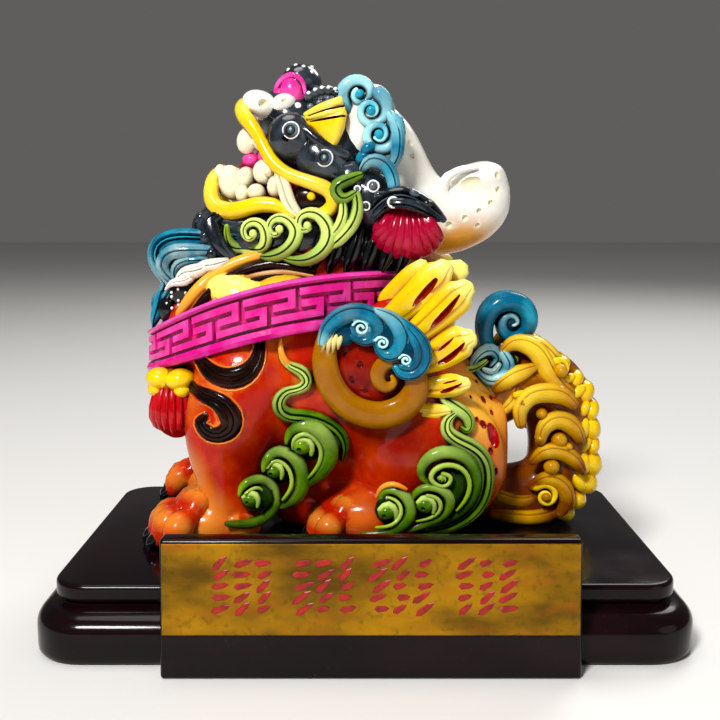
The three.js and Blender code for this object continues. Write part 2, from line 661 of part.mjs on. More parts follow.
// The board's profile in the plane of Y and Z: its face leans back, and its foot reaches the slab.
function boardSolid() {
  const front = SLAB_MIDDLE - PLINTH_DEPTH / 2 - BOARD_PROUD;
  const lean = Math.tan(BOARD_LEAN);
  const back = front + lean * BOARD_HEIGHT + BOARD_THICKNESS;
  const shape = new THREE.Shape();
  shape.moveTo(front, 0);
  shape.lineTo(front + lean * (BOARD_HEIGHT - BOARD_ROUND), BOARD_HEIGHT - BOARD_ROUND);
  shape.lineTo(front + lean * BOARD_HEIGHT + BOARD_ROUND, BOARD_HEIGHT);
  shape.lineTo(back - BOARD_ROUND, BOARD_HEIGHT);
  shape.lineTo(back, BOARD_HEIGHT - BOARD_ROUND);
  shape.lineTo(back, PLINTH_HEIGHT - BOARD_ROUND);
  shape.lineTo(SLAB_MIDDLE, PLINTH_HEIGHT - BOARD_ROUND);
  shape.lineTo(SLAB_MIDDLE, 0);
  const geometry = new THREE.ExtrudeGeometry(shape, { depth: BOARD_WIDTH, bevelEnabled: false });
  geometry.deleteAttribute("normal");
  geometry.deleteAttribute("uv");
  geometry.translate(0, 0, BOARD_OFFSET - BOARD_WIDTH / 2);
  // The shape's x, y and depth become Y, Z and X.
  geometry.applyMatrix4(new THREE.Matrix4().set(0, 0, 1, 0, 1, 0, 0, 0, 0, 1, 0, 0, 0, 0, 0, 1));
  return solidOf(geometry);
}

function namePlate() {
  const front = SLAB_MIDDLE - PLINTH_DEPTH / 2 - BOARD_PROUD;
  const alongFace = BOARD_HEIGHT / Math.cos(BOARD_LEAN) - PLATE_TOP_MARGIN - PLATE_HEIGHT / 2;
  const plate = new THREE.Mesh(
    new THREE.BoxGeometry(PLATE_WIDTH, PLATE_THICKNESS, PLATE_HEIGHT),
    new THREE.MeshStandardMaterial({ color: 0xc79a1e, roughness: 0.3, metalness: 1 }),
  );
  plate.name = "name_plate";
  const outwards = GLUE + PLATE_THICKNESS / 2;
  plate.position.set(
    BOARD_OFFSET,
    front + Math.sin(BOARD_LEAN) * alongFace - Math.cos(BOARD_LEAN) * outwards,
    Math.cos(BOARD_LEAN) * alongFace + Math.sin(BOARD_LEAN) * outwards,
  );
  plate.rotation.x = -BOARD_LEAN;
  return plate;
}

function plinth() {
  const material = new THREE.MeshStandardMaterial({ color: 0x150c0d, roughness: 0.12, metalness: 0 });
  const mesh = new THREE.Mesh(geometryOf(plinthSolid()), material);
  mesh.name = "plinth";
  return mesh;
}

function pixiu() {
  const material = new THREE.MeshStandardMaterial({ color: 0xe8650c, roughness: 0.25, metalness: 0 });
  const mesh = new THREE.Mesh(cleanSeams(geometryOf(figureSolid())), material);
  mesh.name = "pixiu";
  mesh.scale.setScalar(FIGURE_HEIGHT / MODULES_TALL);
  mesh.position.set(FIGURE_OFFSET, SLAB_MIDDLE + FIGURE_SETBACK, PLINTH_HEIGHT);
  return mesh;
}

const group = new THREE.Group();
group.add(plinth(), namePlate(), pixiu());
export default group;
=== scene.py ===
# A pixiu in glossy painted resin on a black lacquered plinth with a gold-coloured plate.
# The figure is laid out in modules of its own grid, as its solid is: x runs from nose to tail,
# y is the distance from its middle plane, near side negative, and z is the height above the plinth.
import json
import math

import bmesh
import bpy
import numpy as np
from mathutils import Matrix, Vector
from mathutils.bvhtree import BVHTree

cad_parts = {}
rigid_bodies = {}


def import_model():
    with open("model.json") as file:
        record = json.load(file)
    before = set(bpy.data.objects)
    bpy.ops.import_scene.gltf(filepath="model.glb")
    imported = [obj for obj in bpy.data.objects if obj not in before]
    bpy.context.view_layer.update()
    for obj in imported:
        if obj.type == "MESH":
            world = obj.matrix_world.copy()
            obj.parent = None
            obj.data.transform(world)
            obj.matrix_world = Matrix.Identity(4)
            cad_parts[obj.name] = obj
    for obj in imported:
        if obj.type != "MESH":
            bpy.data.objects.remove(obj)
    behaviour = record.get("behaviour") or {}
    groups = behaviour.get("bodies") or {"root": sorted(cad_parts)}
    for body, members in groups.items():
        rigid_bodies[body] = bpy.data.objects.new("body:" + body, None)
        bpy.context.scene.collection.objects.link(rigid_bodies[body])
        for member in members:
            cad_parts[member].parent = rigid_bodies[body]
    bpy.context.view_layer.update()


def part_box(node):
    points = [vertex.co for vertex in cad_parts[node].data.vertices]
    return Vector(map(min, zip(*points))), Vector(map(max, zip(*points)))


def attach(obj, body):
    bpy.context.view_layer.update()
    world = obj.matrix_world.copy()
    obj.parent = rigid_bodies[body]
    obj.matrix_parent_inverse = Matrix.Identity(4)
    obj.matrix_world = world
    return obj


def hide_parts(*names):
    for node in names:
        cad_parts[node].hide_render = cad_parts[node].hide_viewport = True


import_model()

NEAR = -1
FAR = 1
SIDES = (NEAR, FAR)

# Where the solid figure's box lies on the grid, in modules.
GRID_TALL = 80.97
GRID_LEFT = -39.02
lowest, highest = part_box("pixiu")
MODULE = (highest.z - lowest.z) / GRID_TALL
GRID_ORIGIN = np.array([lowest.x - GRID_LEFT * MODULE, (lowest.y + highest.y) / 2, lowest.z])

# Fineness, with lengths in modules
FAR_BEYOND = 2  # a form further to the far side than this is cut plainer
FAR_STEPS = 0.6  # the share of its steps that it keeps
CORE_VOXEL = 0.7
CORE_SHARE = 0.45  # the share of a core's fine faces that it keeps
EGG_STEP = 1.3  # between the eggs of a limb
TUBE_SIDES = 6  # around a hoop's tube
WHORL_STEPS = 11  # in a turn
WHORL_GIRTH = 0.26  # at least
STRAND_GIRTH = 0.12  # at least
FACE_STEPS = 6  # over the face of a strand's section
GROOVE_HALF = 0.2  # half a groove's width, as an angle on that section
GROOVE_CLEAR = 1.6  # the next plain point stays this many halves away
CAP, CAP_RISE, CAP_POLE = 0.74, 0.62, 0.95  # a strand's rounded end, as shares of its radius
FACE_LIMIT = 190000  # triangles of the figure


# Blender's objects and meshes

def linked(name, data):
    thing = bpy.data.objects.new(name, data)
    bpy.context.scene.collection.objects.link(thing)
    return thing


def modified(thing, kind, **values):
    modifier = thing.modifiers.new(kind.lower(), kind)
    for name, value in values.items():
        setattr(modifier, name, value)


def baked(thing):
    """The mesh that an object's modifiers make."""
    graph = bpy.context.evaluated_depsgraph_get()
    return bpy.data.meshes.new_from_object(thing.evaluated_get(graph))


def bake(thing):
    """Puts that mesh in the place of the object's own."""
    thing.data = baked(thing)
    thing.modifiers.clear()
    return thing.data


def places_of(mesh):
    places = np.empty(len(mesh.vertices) * 3)
    mesh.vertices.foreach_get("co", places)
    return places.reshape(-1, 3)


def tree_of(mesh):
    """A mesh's faces, for rays to meet."""
    return BVHTree.FromPolygons([v.co.copy() for v in mesh.vertices],
                                [tuple(p.vertices) for p in mesh.polygons])


def store(mesh, name, values):
    """Keeps a value at each point."""
    if name not in mesh.attributes:
        mesh.attributes.new(name, "FLOAT", "POINT")
    mesh.attributes[name].data.foreach_set("value", values)


def smooth_by_angle(piece, degrees):
    shape = bmesh.new()
    shape.from_mesh(piece.data)
    for edge in shape.edges:
        edge.smooth = len(edge.link_faces) != 2 or edge.calc_face_angle(0) < math.radians(degrees)
    for face in shape.faces:
        face.smooth = True
    shape.to_mesh(piece.data)
    shape.free()


def object_of(shape, name):
    """An object from a bmesh of flat faces, which is used up."""
    bmesh.ops.recalc_face_normals(shape, faces=shape.faces)
    mesh = bpy.data.meshes.new(name)
    shape.to_mesh(mesh)
    shape.free()
    return linked(name, mesh)


# Shapes as arrays

def unit(vectors):
    return vectors / np.maximum(np.linalg.norm(vectors, axis=-1, keepdims=True), 1e-9)


def spline(rows, per):
    """A smooth curve through rows of numbers, with per samples between each two."""
    rows = np.asarray(rows, float)
    count = len(rows)
    steps = np.maximum(np.linalg.norm(np.diff(rows[:, :3], axis=0), axis=1), 1e-6)
    system = np.eye(count)
    wanted = np.zeros_like(rows)
    for i in range(1, count - 1):
        before, after = steps[i - 1], steps[i]
        system[i, i - 1:i + 2] = before, 2 * (before + after), after
        wanted[i] = 6 * ((rows[i + 1] - rows[i]) / after - (rows[i] - rows[i - 1]) / before)
    bends = np.linalg.solve(system, wanted)
    places = np.linspace(0, count - 1, (count - 1) * per + 1)
    span = np.minimum(places.astype(int), count - 2)
    width = steps[span][:, None]
    right = (places - span)[:, None] * width
    left = width - right
    curve = (bends[span] * left ** 3 + bends[span + 1] * right ** 3) / (6 * width)
    curve += (rows[span] / width - bends[span] * width / 6) * left
    curve += (rows[span + 1] / width - bends[span + 1] * width / 6) * right
    return curve


def whorl(eye, start, turns, share, inner, rise=1.0):
    """Rows of x, z, lift and radius that wind clockwise from start around eye."""
    eye = np.asarray(eye, float)
    spoke = np.asarray(start, float) - eye
    reach = np.hypot(*spoke)
    angle = math.atan2(spoke[1], spoke[0])
    count = round(turns * WHORL_STEPS)
    rows = []
    for i in range(count + 1):
        t = i / count
        radius = reach * (inner / reach) ** t
        turn = angle - 2 * math.pi * turns * t
        place = eye + radius * np.array([math.cos(turn), math.sin(turn)])
        rows.append((*place, rise * t, max(share * radius, WHORL_GIRTH)))
    return rows


def section(grooves, depth, plane):
    """A strand's section as rows of (across, outwards, groove); grooves are places across its face,
    -1 to 1, and plane is the height at which its face is flat."""
    centres = [math.acos(place) for place in grooves]
    marks = [(centre + turn, cut) for centre in centres
             for turn, cut in ((-GROOVE_HALF, 0), (0, depth), (GROOVE_HALF, 0))]
    for step in range(FACE_STEPS + 1):
        angle = math.pi * step / FACE_STEPS
        if all(abs(angle - centre) > GROOVE_CLEAR * GROOVE_HALF for centre in centres):
            marks.append((angle, 0))
    marks += [(math.pi * turn, 0) for turn in (1.25, 1.5, 1.75)]
    return np.array([(math.cos(a) * (1 - cut), min(math.sin(a), plane) * (1 - cut), cut > 0)
                     for a, cut in sorted(marks)])


def ring_faces(count, sides, base=0):
    """Faces over rings of points in a row, closed by one more point at each end."""
    start = base + count * sides
    end = start - sides
    faces = []
    for j in range(sides):
        k = (j + 1) % sides
        faces.append((start, base + k, base + j))
        for here in range(base, end, sides):
            there = here + sides
            faces.append((here + j, here + k, there + k, there + j))
        faces.append((start + 1, end + j, end + k))
    return faces


def loop_faces(count, sides):
    """Faces over rings of points of which the last joins the first."""
    faces = []
    for i in range(count):
        here, there = i * sides, (i + 1) % count * sides
        for j in range(sides):
            k = (j + 1) % sides
            faces.append((here + j, here + k, there + k, there + j))
    return faces


class Shells:
    """Closed meshes that are joined to the figure or cut out of it."""

    def __init__(self, name):
        self.collection = bpy.data.collections.new(name)
        bpy.context.scene.collection.children.link(self.collection)

    def add(self, points, faces, paint, tones=None, grooves=None):
        points = np.asarray(points, float)
        volume = sum(np.dot(points[f[0]], np.cross(points[f[i]], points[f[i + 1]]))
                     for f in faces for i in range(1, len(f) - 1))
        if volume < 0:
            faces = [face[::-1] for face in faces]
        mesh = bpy.data.meshes.new("shell")
        mesh.from_pydata([tuple(point) for point in points], [], faces)
        dress(mesh, paint, tones, grooves)
        self.collection.objects.link(bpy.data.objects.new("shell", mesh))
        return mesh

    def clear(self):
        for shell in list(self.collection.objects):
            bpy.data.objects.remove(shell)
        bpy.data.collections.remove(self.collection)


def dress(mesh, paint, tones=None, grooves=None):
    """Gives a mesh every paint as a slot, one of them on all its faces, and a tone and a groove value
    at each point. These are kept one higher, because a boolean leaves 0 at the points that it makes."""
    for material in paints.values():
        mesh.materials.append(material)
    mesh.polygons.foreach_set("material_index", [list(paints).index(paint)] * len(mesh.polygons))
    for name, values in (("tone", tones), ("groove", grooves)):
        store(mesh, name, np.ones(len(mesh.vertices)) if values is None else np.asarray(values, float) + 1)


def skin(rings, first, last, paint, into, tones=None, grooves=None):
    """Rings of points joined by faces and closed by a point at each end."""
    rings = np.asarray(rings, float)
    count, sides = rings.shape[:2]
    points = np.concatenate([rings.reshape(-1, 3), [first], [last]])
    if tones is not None:
        tones = np.concatenate([np.repeat(tones, sides), [tones[0], tones[-1]]])
    if grooves is not None:
        grooves = np.concatenate([np.tile(grooves, count), [0, 0]])
    return into.add(points, ring_faces(count, sides), paint, tones, grooves)


def strand(rows, paint, out=(0, -1, 0), per=2, grooves=(), depth=0.4, flat=1.0, plane=1.0, tones=None,
           into=None, blunt=1.0):
    """A lock along rows of x, y, z and radius. out is where its face looks, for all or each row."""
    rows = np.asarray(rows, float)
    if rows[:, 1].mean() > FAR_BEYOND:
        per = max(1, round(per * FAR_STEPS))
    track = spline(rows, per)
    centre = track[:, :3]
    radius = np.maximum(track[:, 3:4], STRAND_GIRTH)
    along = unit(np.gradient(centre, axis=0))
    facing = np.asarray(out, float)
    if facing.ndim == 2:
        facing = spline(np.column_stack([rows[:, :3], facing]), per)[:, 3:6]
    facing = unit(facing - along * np.sum(facing * along, axis=1, keepdims=True))
    across = np.cross(along, facing)
    shape = section(grooves, depth, plane)
    rings = (centre[:, None] + (radius * across)[:, None] * shape[None, :, :1]
             + (radius * flat * facing)[:, None] * shape[None, :, 1:2])
    caps = [(rings[i] - centre[i]) * CAP + centre[i] + hand * along[i] * radius[i] * CAP_RISE * blunt
            for i, hand in ((0, -1), (-1, 1))]
    rings = np.concatenate([caps[:1], rings, caps[1:]])
    first = centre[0] - along[0] * radius[0] * CAP_POLE * blunt
    last = centre[-1] + along[-1] * radius[-1] * CAP_POLE * blunt
    if tones is not None:
        tones = np.interp(np.linspace(0, 1, len(rings)), np.linspace(0, 1, len(tones)), tones)
    return skin(rings, first, last, paint, into or forms, tones, shape[:, 2])


def lock(rows, side, paint, out=(0, 1, 0), per=3, **shape):
    """A strand on either side, from rows whose y is the distance from the middle plane."""
    rows = [(x, y * side, z, radius) for x, y, z, radius in rows]
    return strand(rows, paint, np.array(out, float) * (1, side, 1), per, **shape)


def level(rows, away, side, paint, per=4, **shape):
    """A lock along rows of x, z and radius, all at one distance from the middle plane."""
    return lock([(x, away, z, radius) for x, z, radius in rows], side, paint, per=per, **shape)


def egg(centre, halves, turn=0, fine=(20, 12)):
    """Rings and poles of an egg-shaped mass; turn is degrees about Y."""
    around, up = fine
    angles = np.linspace(0, 2 * math.pi, around, endpoint=False)
    heights = np.linspace(-math.pi / 2, math.pi / 2, up + 1)[1:-1]
    rings = np.array([[(math.cos(h) * math.cos(a), math.cos(h) * math.sin(a), math.sin(h))
                       for a in angles] for h in heights])
    c, s = math.cos(math.radians(turn)), math.sin(math.radians(turn))
    about = np.array([[c, 0, s], [0, 1, 0], [-s, 0, c]])
    poles = [np.array([0, 0, end]) for end in (-1.0, 1.0)]
    return [(points * halves) @ about.T + centre for points in (rings, *poles)]


def ball(centre, halves, paint, turn=0, fine=(18, 11), into=None, tone=0.0):
    if isinstance(halves, (int, float)):
        halves = (halves, halves, halves)
    if centre[1] > FAR_BEYOND:
        fine = [max(6, round(steps * FAR_STEPS)) for steps in fine]
    return skin(*egg(centre, halves, turn, fine), paint, into or forms, [tone] * (fine[1] - 1))


def hoop(centre, radius, tube, paint, facing, steps):
    """A ring that lies flat on a surface that looks along facing."""
    facing = unit(np.asarray(facing, float))
    first = unit(np.cross(facing, (0.3, 0.1, 1)))
    second = np.cross(facing, first)
    points = []
    for i in range(steps):
        a = 2 * math.pi * i / steps
        spoke = first * math.cos(a) + second * math.sin(a)
        for j in range(TUBE_SIDES):
            b = 2 * math.pi * j / TUBE_SIDES
            points.append(centre + spoke * (radius + tube * math.cos(b)) + facing * tube * math.sin(b))
    forms.add(points, loop_faces(steps, TUBE_SIDES), paint)


def fused(shells, smoothing, name, paint):
    """One soft core from overlapping shells, as an object."""
    points, faces = [], []
    for rings, first, last in shells:
        faces += ring_faces(*rings.shape[:2], len(points))
        points += [*rings.reshape(-1, 3), first, last]
    mesh = bpy.data.meshes.new(name)
    mesh.from_pydata([tuple(p) for p in points], [], faces)
    core = linked(name, mesh)
    modified(core, "REMESH", mode="VOXEL", voxel_size=CORE_VOXEL)
    modified(core, "SMOOTH", factor=0.5, iterations=smoothing)
    modified(core, "DECIMATE", ratio=CORE_SHARE)
    dress(bake(core), paint)
    return core


# The surface that carvings lie on

carriers = []
RAY_START = 60  # how far from the middle plane a ray to the surface starts
UNMET = 12.0  # the distance from the middle plane where it meets nothing


def touch(x, z, side):
    """The outermost point and normal of the carriers, seen from one side."""
    best = None
    for tree in carriers:
        hit, normal, _, _ = tree.ray_cast(Vector((x, RAY_START * side, z)), Vector((0, -side, 0)))
        if hit and (best is None or hit.y * side > best[0].y * side):
            best = (hit, normal if normal.y * side > 0 else -normal)
    if best is None:
        return np.array([x, UNMET * side, z]), np.array([0.0, side, 0.0])
    return np.array(best[0]), np.array(best[1])


def depth_at(x, z, side):
    return abs(touch(x, z, side)[0][1])


def pits(side, paint, rows, deep=0.5, tall=1.0, fine=(10, 6)):
    """Shallow hollows of one paint at rows of x, z and radius."""
    for x, z, radius in rows:
        ball(touch(x, z, side)[0], (radius, deep, radius * tall), paint, fine=fine, into=cuts)


def carved(rows, side, paint, lift=0.5, per=3, tones=None, least=0.0, **shape):
    """A strand laid on the carriers along rows of x, z and radius, and no nearer to the middle plane
    than least."""
    laid, facings = [], []
    for x, z, radius in rows:
        place, normal = touch(x, z, side)
        laid.append([x, side * max(abs(place[1]) + lift, least), z, radius])
        facings.append(unit(normal * 0.5 + np.array([0, side, 0]) * 0.5))
    laid = np.array(laid)
    depths = laid[:, 1].copy()
    for _ in range(3):
        depths[1:-1] = (depths[:-2] + 2 * depths[1:-1] + depths[2:]) / 4
    laid[:, 1] = np.where(depths * side > laid[:, 1] * side, depths, laid[:, 1])
    return strand(laid, paint, np.array(facings), per, tones=tones, **shape)


def scroll(side, eye, start, turns, share, inner, depth):
    """An upright blue curl that winds around a knob at its eye, over a dark navy disc that closes it behind
    and paints the shade inside it.
    """
    rows = [(x, depth + up, z, radius) for x, z, up, radius in whorl(eye, start, turns, share, inner)]
    lock(rows, side, "blue", per=2, tones=(0.2, 0.5, 0.7, 0.2, 0.6, 0.9))
    ball((eye[0], (depth + 1.05) * side, eye[1]), 0.8, "blue", fine=(12, 8))
    reach = math.dist(eye, start) * 0.5
    ball((eye[0], (depth - 0.5) * side, eye[1]), (reach, 0.9, reach), "navy", fine=(18, 6))


# painted light along a curl's band: dark at its root and end, palest on its top
CURL_TONES = (-0.4, -0.2, 0.1, 0.4, 0.1, -0.1)
LIP_RISE = 1.1  # the lip over the band
# A comma on a knob, in shares of the knob's radius
COMMA = ((0.9, -0.9, 0.2), (0.95, 0.1, 0.4), (0.2, 0.85, 0.45), (-0.75, 0.3, 0.3))


def curl(side, band, lip, knob, lift, least):
    """A carved curl: a broad band, a thin lip inside it and a knob at its eye, over a near-black disc that
    paints the shade in its hollow, with a near-black pit in the knob as painted shade too. The band and
    the lip pale on their tops, as painted highlight.
    """
    x, z, radius = knob
    carved(band, side, "green", lift, 3, CURL_TONES, least)
    carved(lip, side, "green", lift + LIP_RISE, 3, (0, 0.35, 0.5, 0.3), least + LIP_RISE)
    depth = max(depth_at(x, z, side) + lift, least) + 0.6
    ball((x, depth * side, z), (radius, radius, radius * 0.92), "green", fine=(16, 10))
    comma = [(x + a * radius, depth + 0.3 * radius, z + b * radius, c * radius) for a, b, c in COMMA]
    lock(comma, side, "green", per=2, tones=(0, 0.8, 0.8))
    ball((x - 0.3 * radius, (depth + 0.95 * radius) * side, z - 0.3 * radius), 0.3 * radius, "moss",
         fine=(10, 6), into=cuts)
    ball((x + 0.9, (depth - 1.2) * side, z), (radius + 1.4, 0.9, radius + 1.2), "moss", fine=(18, 6))


# Paints

def rgb(code):
    """A screen colour such as 0xE8650C as the linear colour that a shader takes."""
    parts = [(code >> shift & 255) / 255 for shift in (16, 8, 0)]
    return (*[((p + 0.055) / 1.055) ** 2.4 if p > 0.04 else p / 12.92 for p in parts], 1.0)


def material_of(name, **sockets):
    """A material, its node tree and its shader, with values set on the shader's own sockets."""
    material = bpy.data.materials.new(name)
    material.use_nodes = True
    shader = material.node_tree.nodes["Principled BSDF"]
    for socket, value in sockets.items():
        shader.inputs[socket.replace("_", " ")].default_value = value
    return material, material.node_tree, shader


def add_node(tree, kind, **values):
    node = tree.nodes.new(kind)
    for name, value in values.items():
        setattr(node, name, value)
    return node


def ranged(tree, source, low, high, out_low=0.0, out_high=1.0):
    node = add_node(tree, "ShaderNodeMapRange", clamp=True)
    for place, value in zip((1, 2, 3, 4), (low, high, out_low, out_high)):
        node.inputs[place].default_value = value
    tree.links.new(source, node.inputs[0])
    return node.outputs[0]


def blended(tree, factor, first, second):
    """A colour between two, each a socket or a colour."""
    node = add_node(tree, "ShaderNodeMix", data_type="RGBA")
    tree.links.new(factor, node.inputs[0])
    for place, colour in ((6, first), (7, second)):
        if isinstance(colour, tuple):
            node.inputs[place].default_value = colour
        else:
            tree.links.new(colour, node.inputs[place])
    return node.outputs[2]


def attribute(tree, name):
    return add_node(tree, "ShaderNodeAttribute", attribute_name=name).outputs["Fac"]


def noise(tree, scale, detail=3.0, stretch=(1, 1, 1)):
    coordinates = add_node(tree, "ShaderNodeTexCoord").outputs["Object"]
    mapping = add_node(tree, "ShaderNodeMapping")
    mapping.inputs["Scale"].default_value = stretch
    tree.links.new(coordinates, mapping.inputs["Vector"])
    texture = add_node(tree, "ShaderNodeTexNoise")
    texture.inputs["Scale"].default_value = scale
    texture.inputs["Detail"].default_value = detail
    tree.links.new(mapping.outputs["Vector"], texture.inputs["Vector"])
    return texture.outputs["Fac"]


def bumped(tree, height, shader, strength, distance):
    bump = add_node(tree, "ShaderNodeBump")
    bump.inputs["Strength"].default_value = strength
    bump.inputs["Distance"].default_value = distance
    tree.links.new(height, bump.inputs["Height"])
    tree.links.new(bump.outputs["Normal"], shader.inputs["Normal"])


def paint_of(name, shade, base, tint, tip=None, roughness=0.18, coat=0.5, mottle=0.5, painted_shade_span=(0.35, 0.85),
             gloss=0.5):
    """Glossy hand-laid paint, with painted shade and painted highlight: it darkens to its shade colour in
    hollows and grooves, and pales to its tint on thin ridges.
    """
    material, tree, shader = material_of(name, Coat_Weight=coat, Coat_Roughness=0.08,
                                         Specular_IOR_Level=gloss)
    shade, base, tint = rgb(shade), rgb(base), rgb(tint)
    colour = blended(tree, ranged(tree, noise(tree, 260.0), 0.42, 0.72, 0.0, mottle), base, tint)
    # painted highlight: pales towards the tint where the form is thin, on ridges
    colour = blended(tree, ranged(tree, attribute(tree, "ridge"), 0.35, 0.95), colour, tint)
    if tip is not None:
        # a tone above 0 pales it towards the tip and one below 0 darkens it towards the shade: mostly
        # painted highlight and painted shade, and also the horn's own yellow stain and the wing's cream
        # brush strokes
        colour = blended(tree, ranged(tree, attribute(tree, "tone"), 1.1, 1.9), colour, rgb(tip))
        colour = blended(tree, ranged(tree, attribute(tree, "tone"), 1.0, 0.6, 0.0, 0.85), colour, shade)
    # painted shade: darkens towards the shade colour where the point is hidden, in hollows and grooves
    colour = blended(tree, ranged(tree, attribute(tree, "crevice"), *painted_shade_span), colour, shade)
    tree.links.new(colour, shader.inputs["Base Color"])
    fine = noise(tree, 1500.0, 2.0)
    tree.links.new(ranged(tree, fine, 0.3, 0.7, roughness - 0.05, roughness + 0.12),
                   shader.inputs["Roughness"])
    bumped(tree, noise(tree, 700.0, 2.0), shader, 0.25, 0.00012)
    return material


# Each paint: shade, its painted shade in hollows and low down; base, the paint as laid; tint, its
# random lighter tone and its painted highlight on ridges; and tip, the colour at the top of its tones:
# a painted highlight for most, the horn's own yellow stain for white, the cream of the wing's brush
# strokes for mustard and the painted shade of the collar's floor for magenta
PAINTS = {
    "orange": dict(shade=0x5C0400, base=0xB41800, tint=0xF05200, tip=0xFFB83C, coat=0.2, gloss=0.12),
    "yellow": dict(shade=0x9C3000, base=0xF0C000, tint=0xFFDA00, tip=0xFFF078, mottle=0.7, coat=0.3,
                   gloss=0.3),
    "amber": dict(shade=0x681400, base=0xC08400, tint=0xE8B400, tip=0xFFDC34, mottle=0.6, coat=0.25,
                  gloss=0.2),
    "mustard": dict(shade=0x600E00, base=0x9C5E00, tint=0xB47C00, tip=0xF0DC90, mottle=0.6, coat=0.2,
                    gloss=0.12),
    "green": dict(shade=0x040E02, base=0x406C00, tint=0x90B810, tip=0xD4EC78, painted_shade_span=(0.18, 0.55), coat=0.2,
                  gloss=0.15),
    # moss, and navy below, are near-black green and blue for the discs and pits that paint the shade in
    # curls
    "moss": dict(shade=0x010400, base=0x082002, tint=0x2C5408, coat=0.1, gloss=0.1),
    "blue": dict(shade=0x001820, base=0x006080, tint=0x28C0DC, tip=0xC0F8F8, painted_shade_span=(0.2, 0.65), coat=0.25,
                 gloss=0.15),
    "navy": dict(shade=0x00080E, base=0x012C40, tint=0x045C7C, coat=0.1, gloss=0.1),
    "teal": dict(shade=0x0E2026, base=0x3C8094, tint=0xB0C8C4, mottle=0.8, coat=0.3, gloss=0.2),
    "magenta": dict(shade=0x74002C, base=0xDC0C84, tint=0xFF70D4, tip=0x90003C, mottle=0.35,
                    painted_shade_span=(0.3, 0.8), coat=0.25, gloss=0.15),
    "red": dict(shade=0x4C0002, base=0xAC0008, tint=0xDC1C28, painted_shade_span=(0.3, 0.75), coat=0.25, gloss=0.15),
    "crimson": dict(shade=0x48000C, base=0xA00028, tint=0xC81848, painted_shade_span=(0.3, 0.75), coat=0.2, gloss=0.15),
    "pink": dict(shade=0x9E0858, base=0xF02C94, tint=0xFF80C0, coat=0.3, gloss=0.2),
    "white": dict(shade=0x7C6A58, base=0xF2EEE2, tint=0xFFFFFC, tip=0xE09A28, painted_shade_span=(0.35, 1.0), gloss=0.3),
    "ivory": dict(shade=0x7A5C3A, base=0xEAE0BC, tint=0xFAF4DC, painted_shade_span=(0.35, 1.0), gloss=0.3),
    "black": dict(shade=0x020305, base=0x10161E, tint=0x5C6C78, mottle=0.3, coat=0.6, gloss=0.3),
    "jet": dict(shade=0x000001, base=0x060608, tint=0x22262C, mottle=0.3, roughness=0.16, gloss=0.2),
    "brown": dict(shade=0x040100, base=0x120403, tint=0x48200E, mottle=0.3, coat=0.15, gloss=0.1),
    "tan": dict(shade=0x5A2808, base=0xB87838, tint=0xE8BC84, coat=0.3, gloss=0.2),
    "rust": dict(shade=0x340200, base=0x780400, tint=0xB02404, coat=0.1, gloss=0.1),
    "spot": dict(shade=0x1C0000, base=0x480200, tint=0x780C04, coat=0.1, gloss=0.1),
}
paints = {name: paint_of(name, **look) for name, look in PAINTS.items()}
forms = Shells("forms")
cuts = Shells("cuts")


# Body

TRUNK_SIDES = 24


def lathe(stations):
    """An oval trunk through stations of x, z, half-width and half-height."""
    track = spline([(x, 0, z, w, h) for x, z, w, h in stations], 3)
    angles = np.linspace(0, 2 * math.pi, TRUNK_SIDES, endpoint=False)
    rings = np.array([[(x, w * math.cos(a), z + h * math.sin(a)) for a in angles]
                      for x, _, z, w, h in track])
    return rings, rings[0].mean(axis=0), rings[-1].mean(axis=0)


def limb(rows, flat=1.0):
    """Overlapping eggs along rows of x, y, z and radius, as a list."""
    rows = np.asarray(rows, float)
    reach = np.linalg.norm(np.diff(rows[:, :3], axis=0), axis=1).max()
    track = spline(rows, max(2, round(reach / EGG_STEP)))
    return [egg(row[:3], (row[3], row[3] * flat, row[3]), fine=(16, 10)) for row in track]


STEP = {NEAR: 0, FAR: -2.4}  # the far foreleg is set forward


def leg_masses(side):
    step = STEP[side]
    y = 13 * side
    return [
        *limb([(-19, y * 0.9, 27, 9.2), (-21.8 + step / 2, y, 18.5, 8), (-21.8 + step, y * 1.05, 11, 6),
               (-22.6 + step, y * 1.05, 5, 5.4)], 0.78),
        egg((-25.6 + step, 13.6 * side, 3.6), (7.4, 5.8, 4.4)),
        egg((12, 11.5 * side, 13.5), (13, 5.8, 12.5)),
        egg((2, 12.5 * side, 4.4), (9.2, 5.2, 4.8)),
    ]


def body_core():
    trunk = lathe([(-28.6, 28, 9, 9), (-20, 27, 15.4, 18), (-6, 25.5, 16.4, 19.5), (6, 22.5, 16.2, 18.5),
                   (17, 17.5, 14, 14), (25.6, 14.5, 9, 9.6)])
    chest = egg((-18, 0, 34), (17.6, 15.9, 15.2))
    neck = limb([(-7, 0, 38, 15), (-6.5, 0, 47, 13), (-4, 0, 57, 10.4)], 0.86)
    belly = egg((0, 0, 6), (19, 12.6, 9))
    legs = [mass for side in SIDES for mass in leg_masses(side)]
    body = fused([trunk, chest, *neck, belly, *legs], 10, "body", "orange")
    # the body's painted highlight and painted shade
    store(body.data, "tone", 1 + body_tones(body.data))
    return body


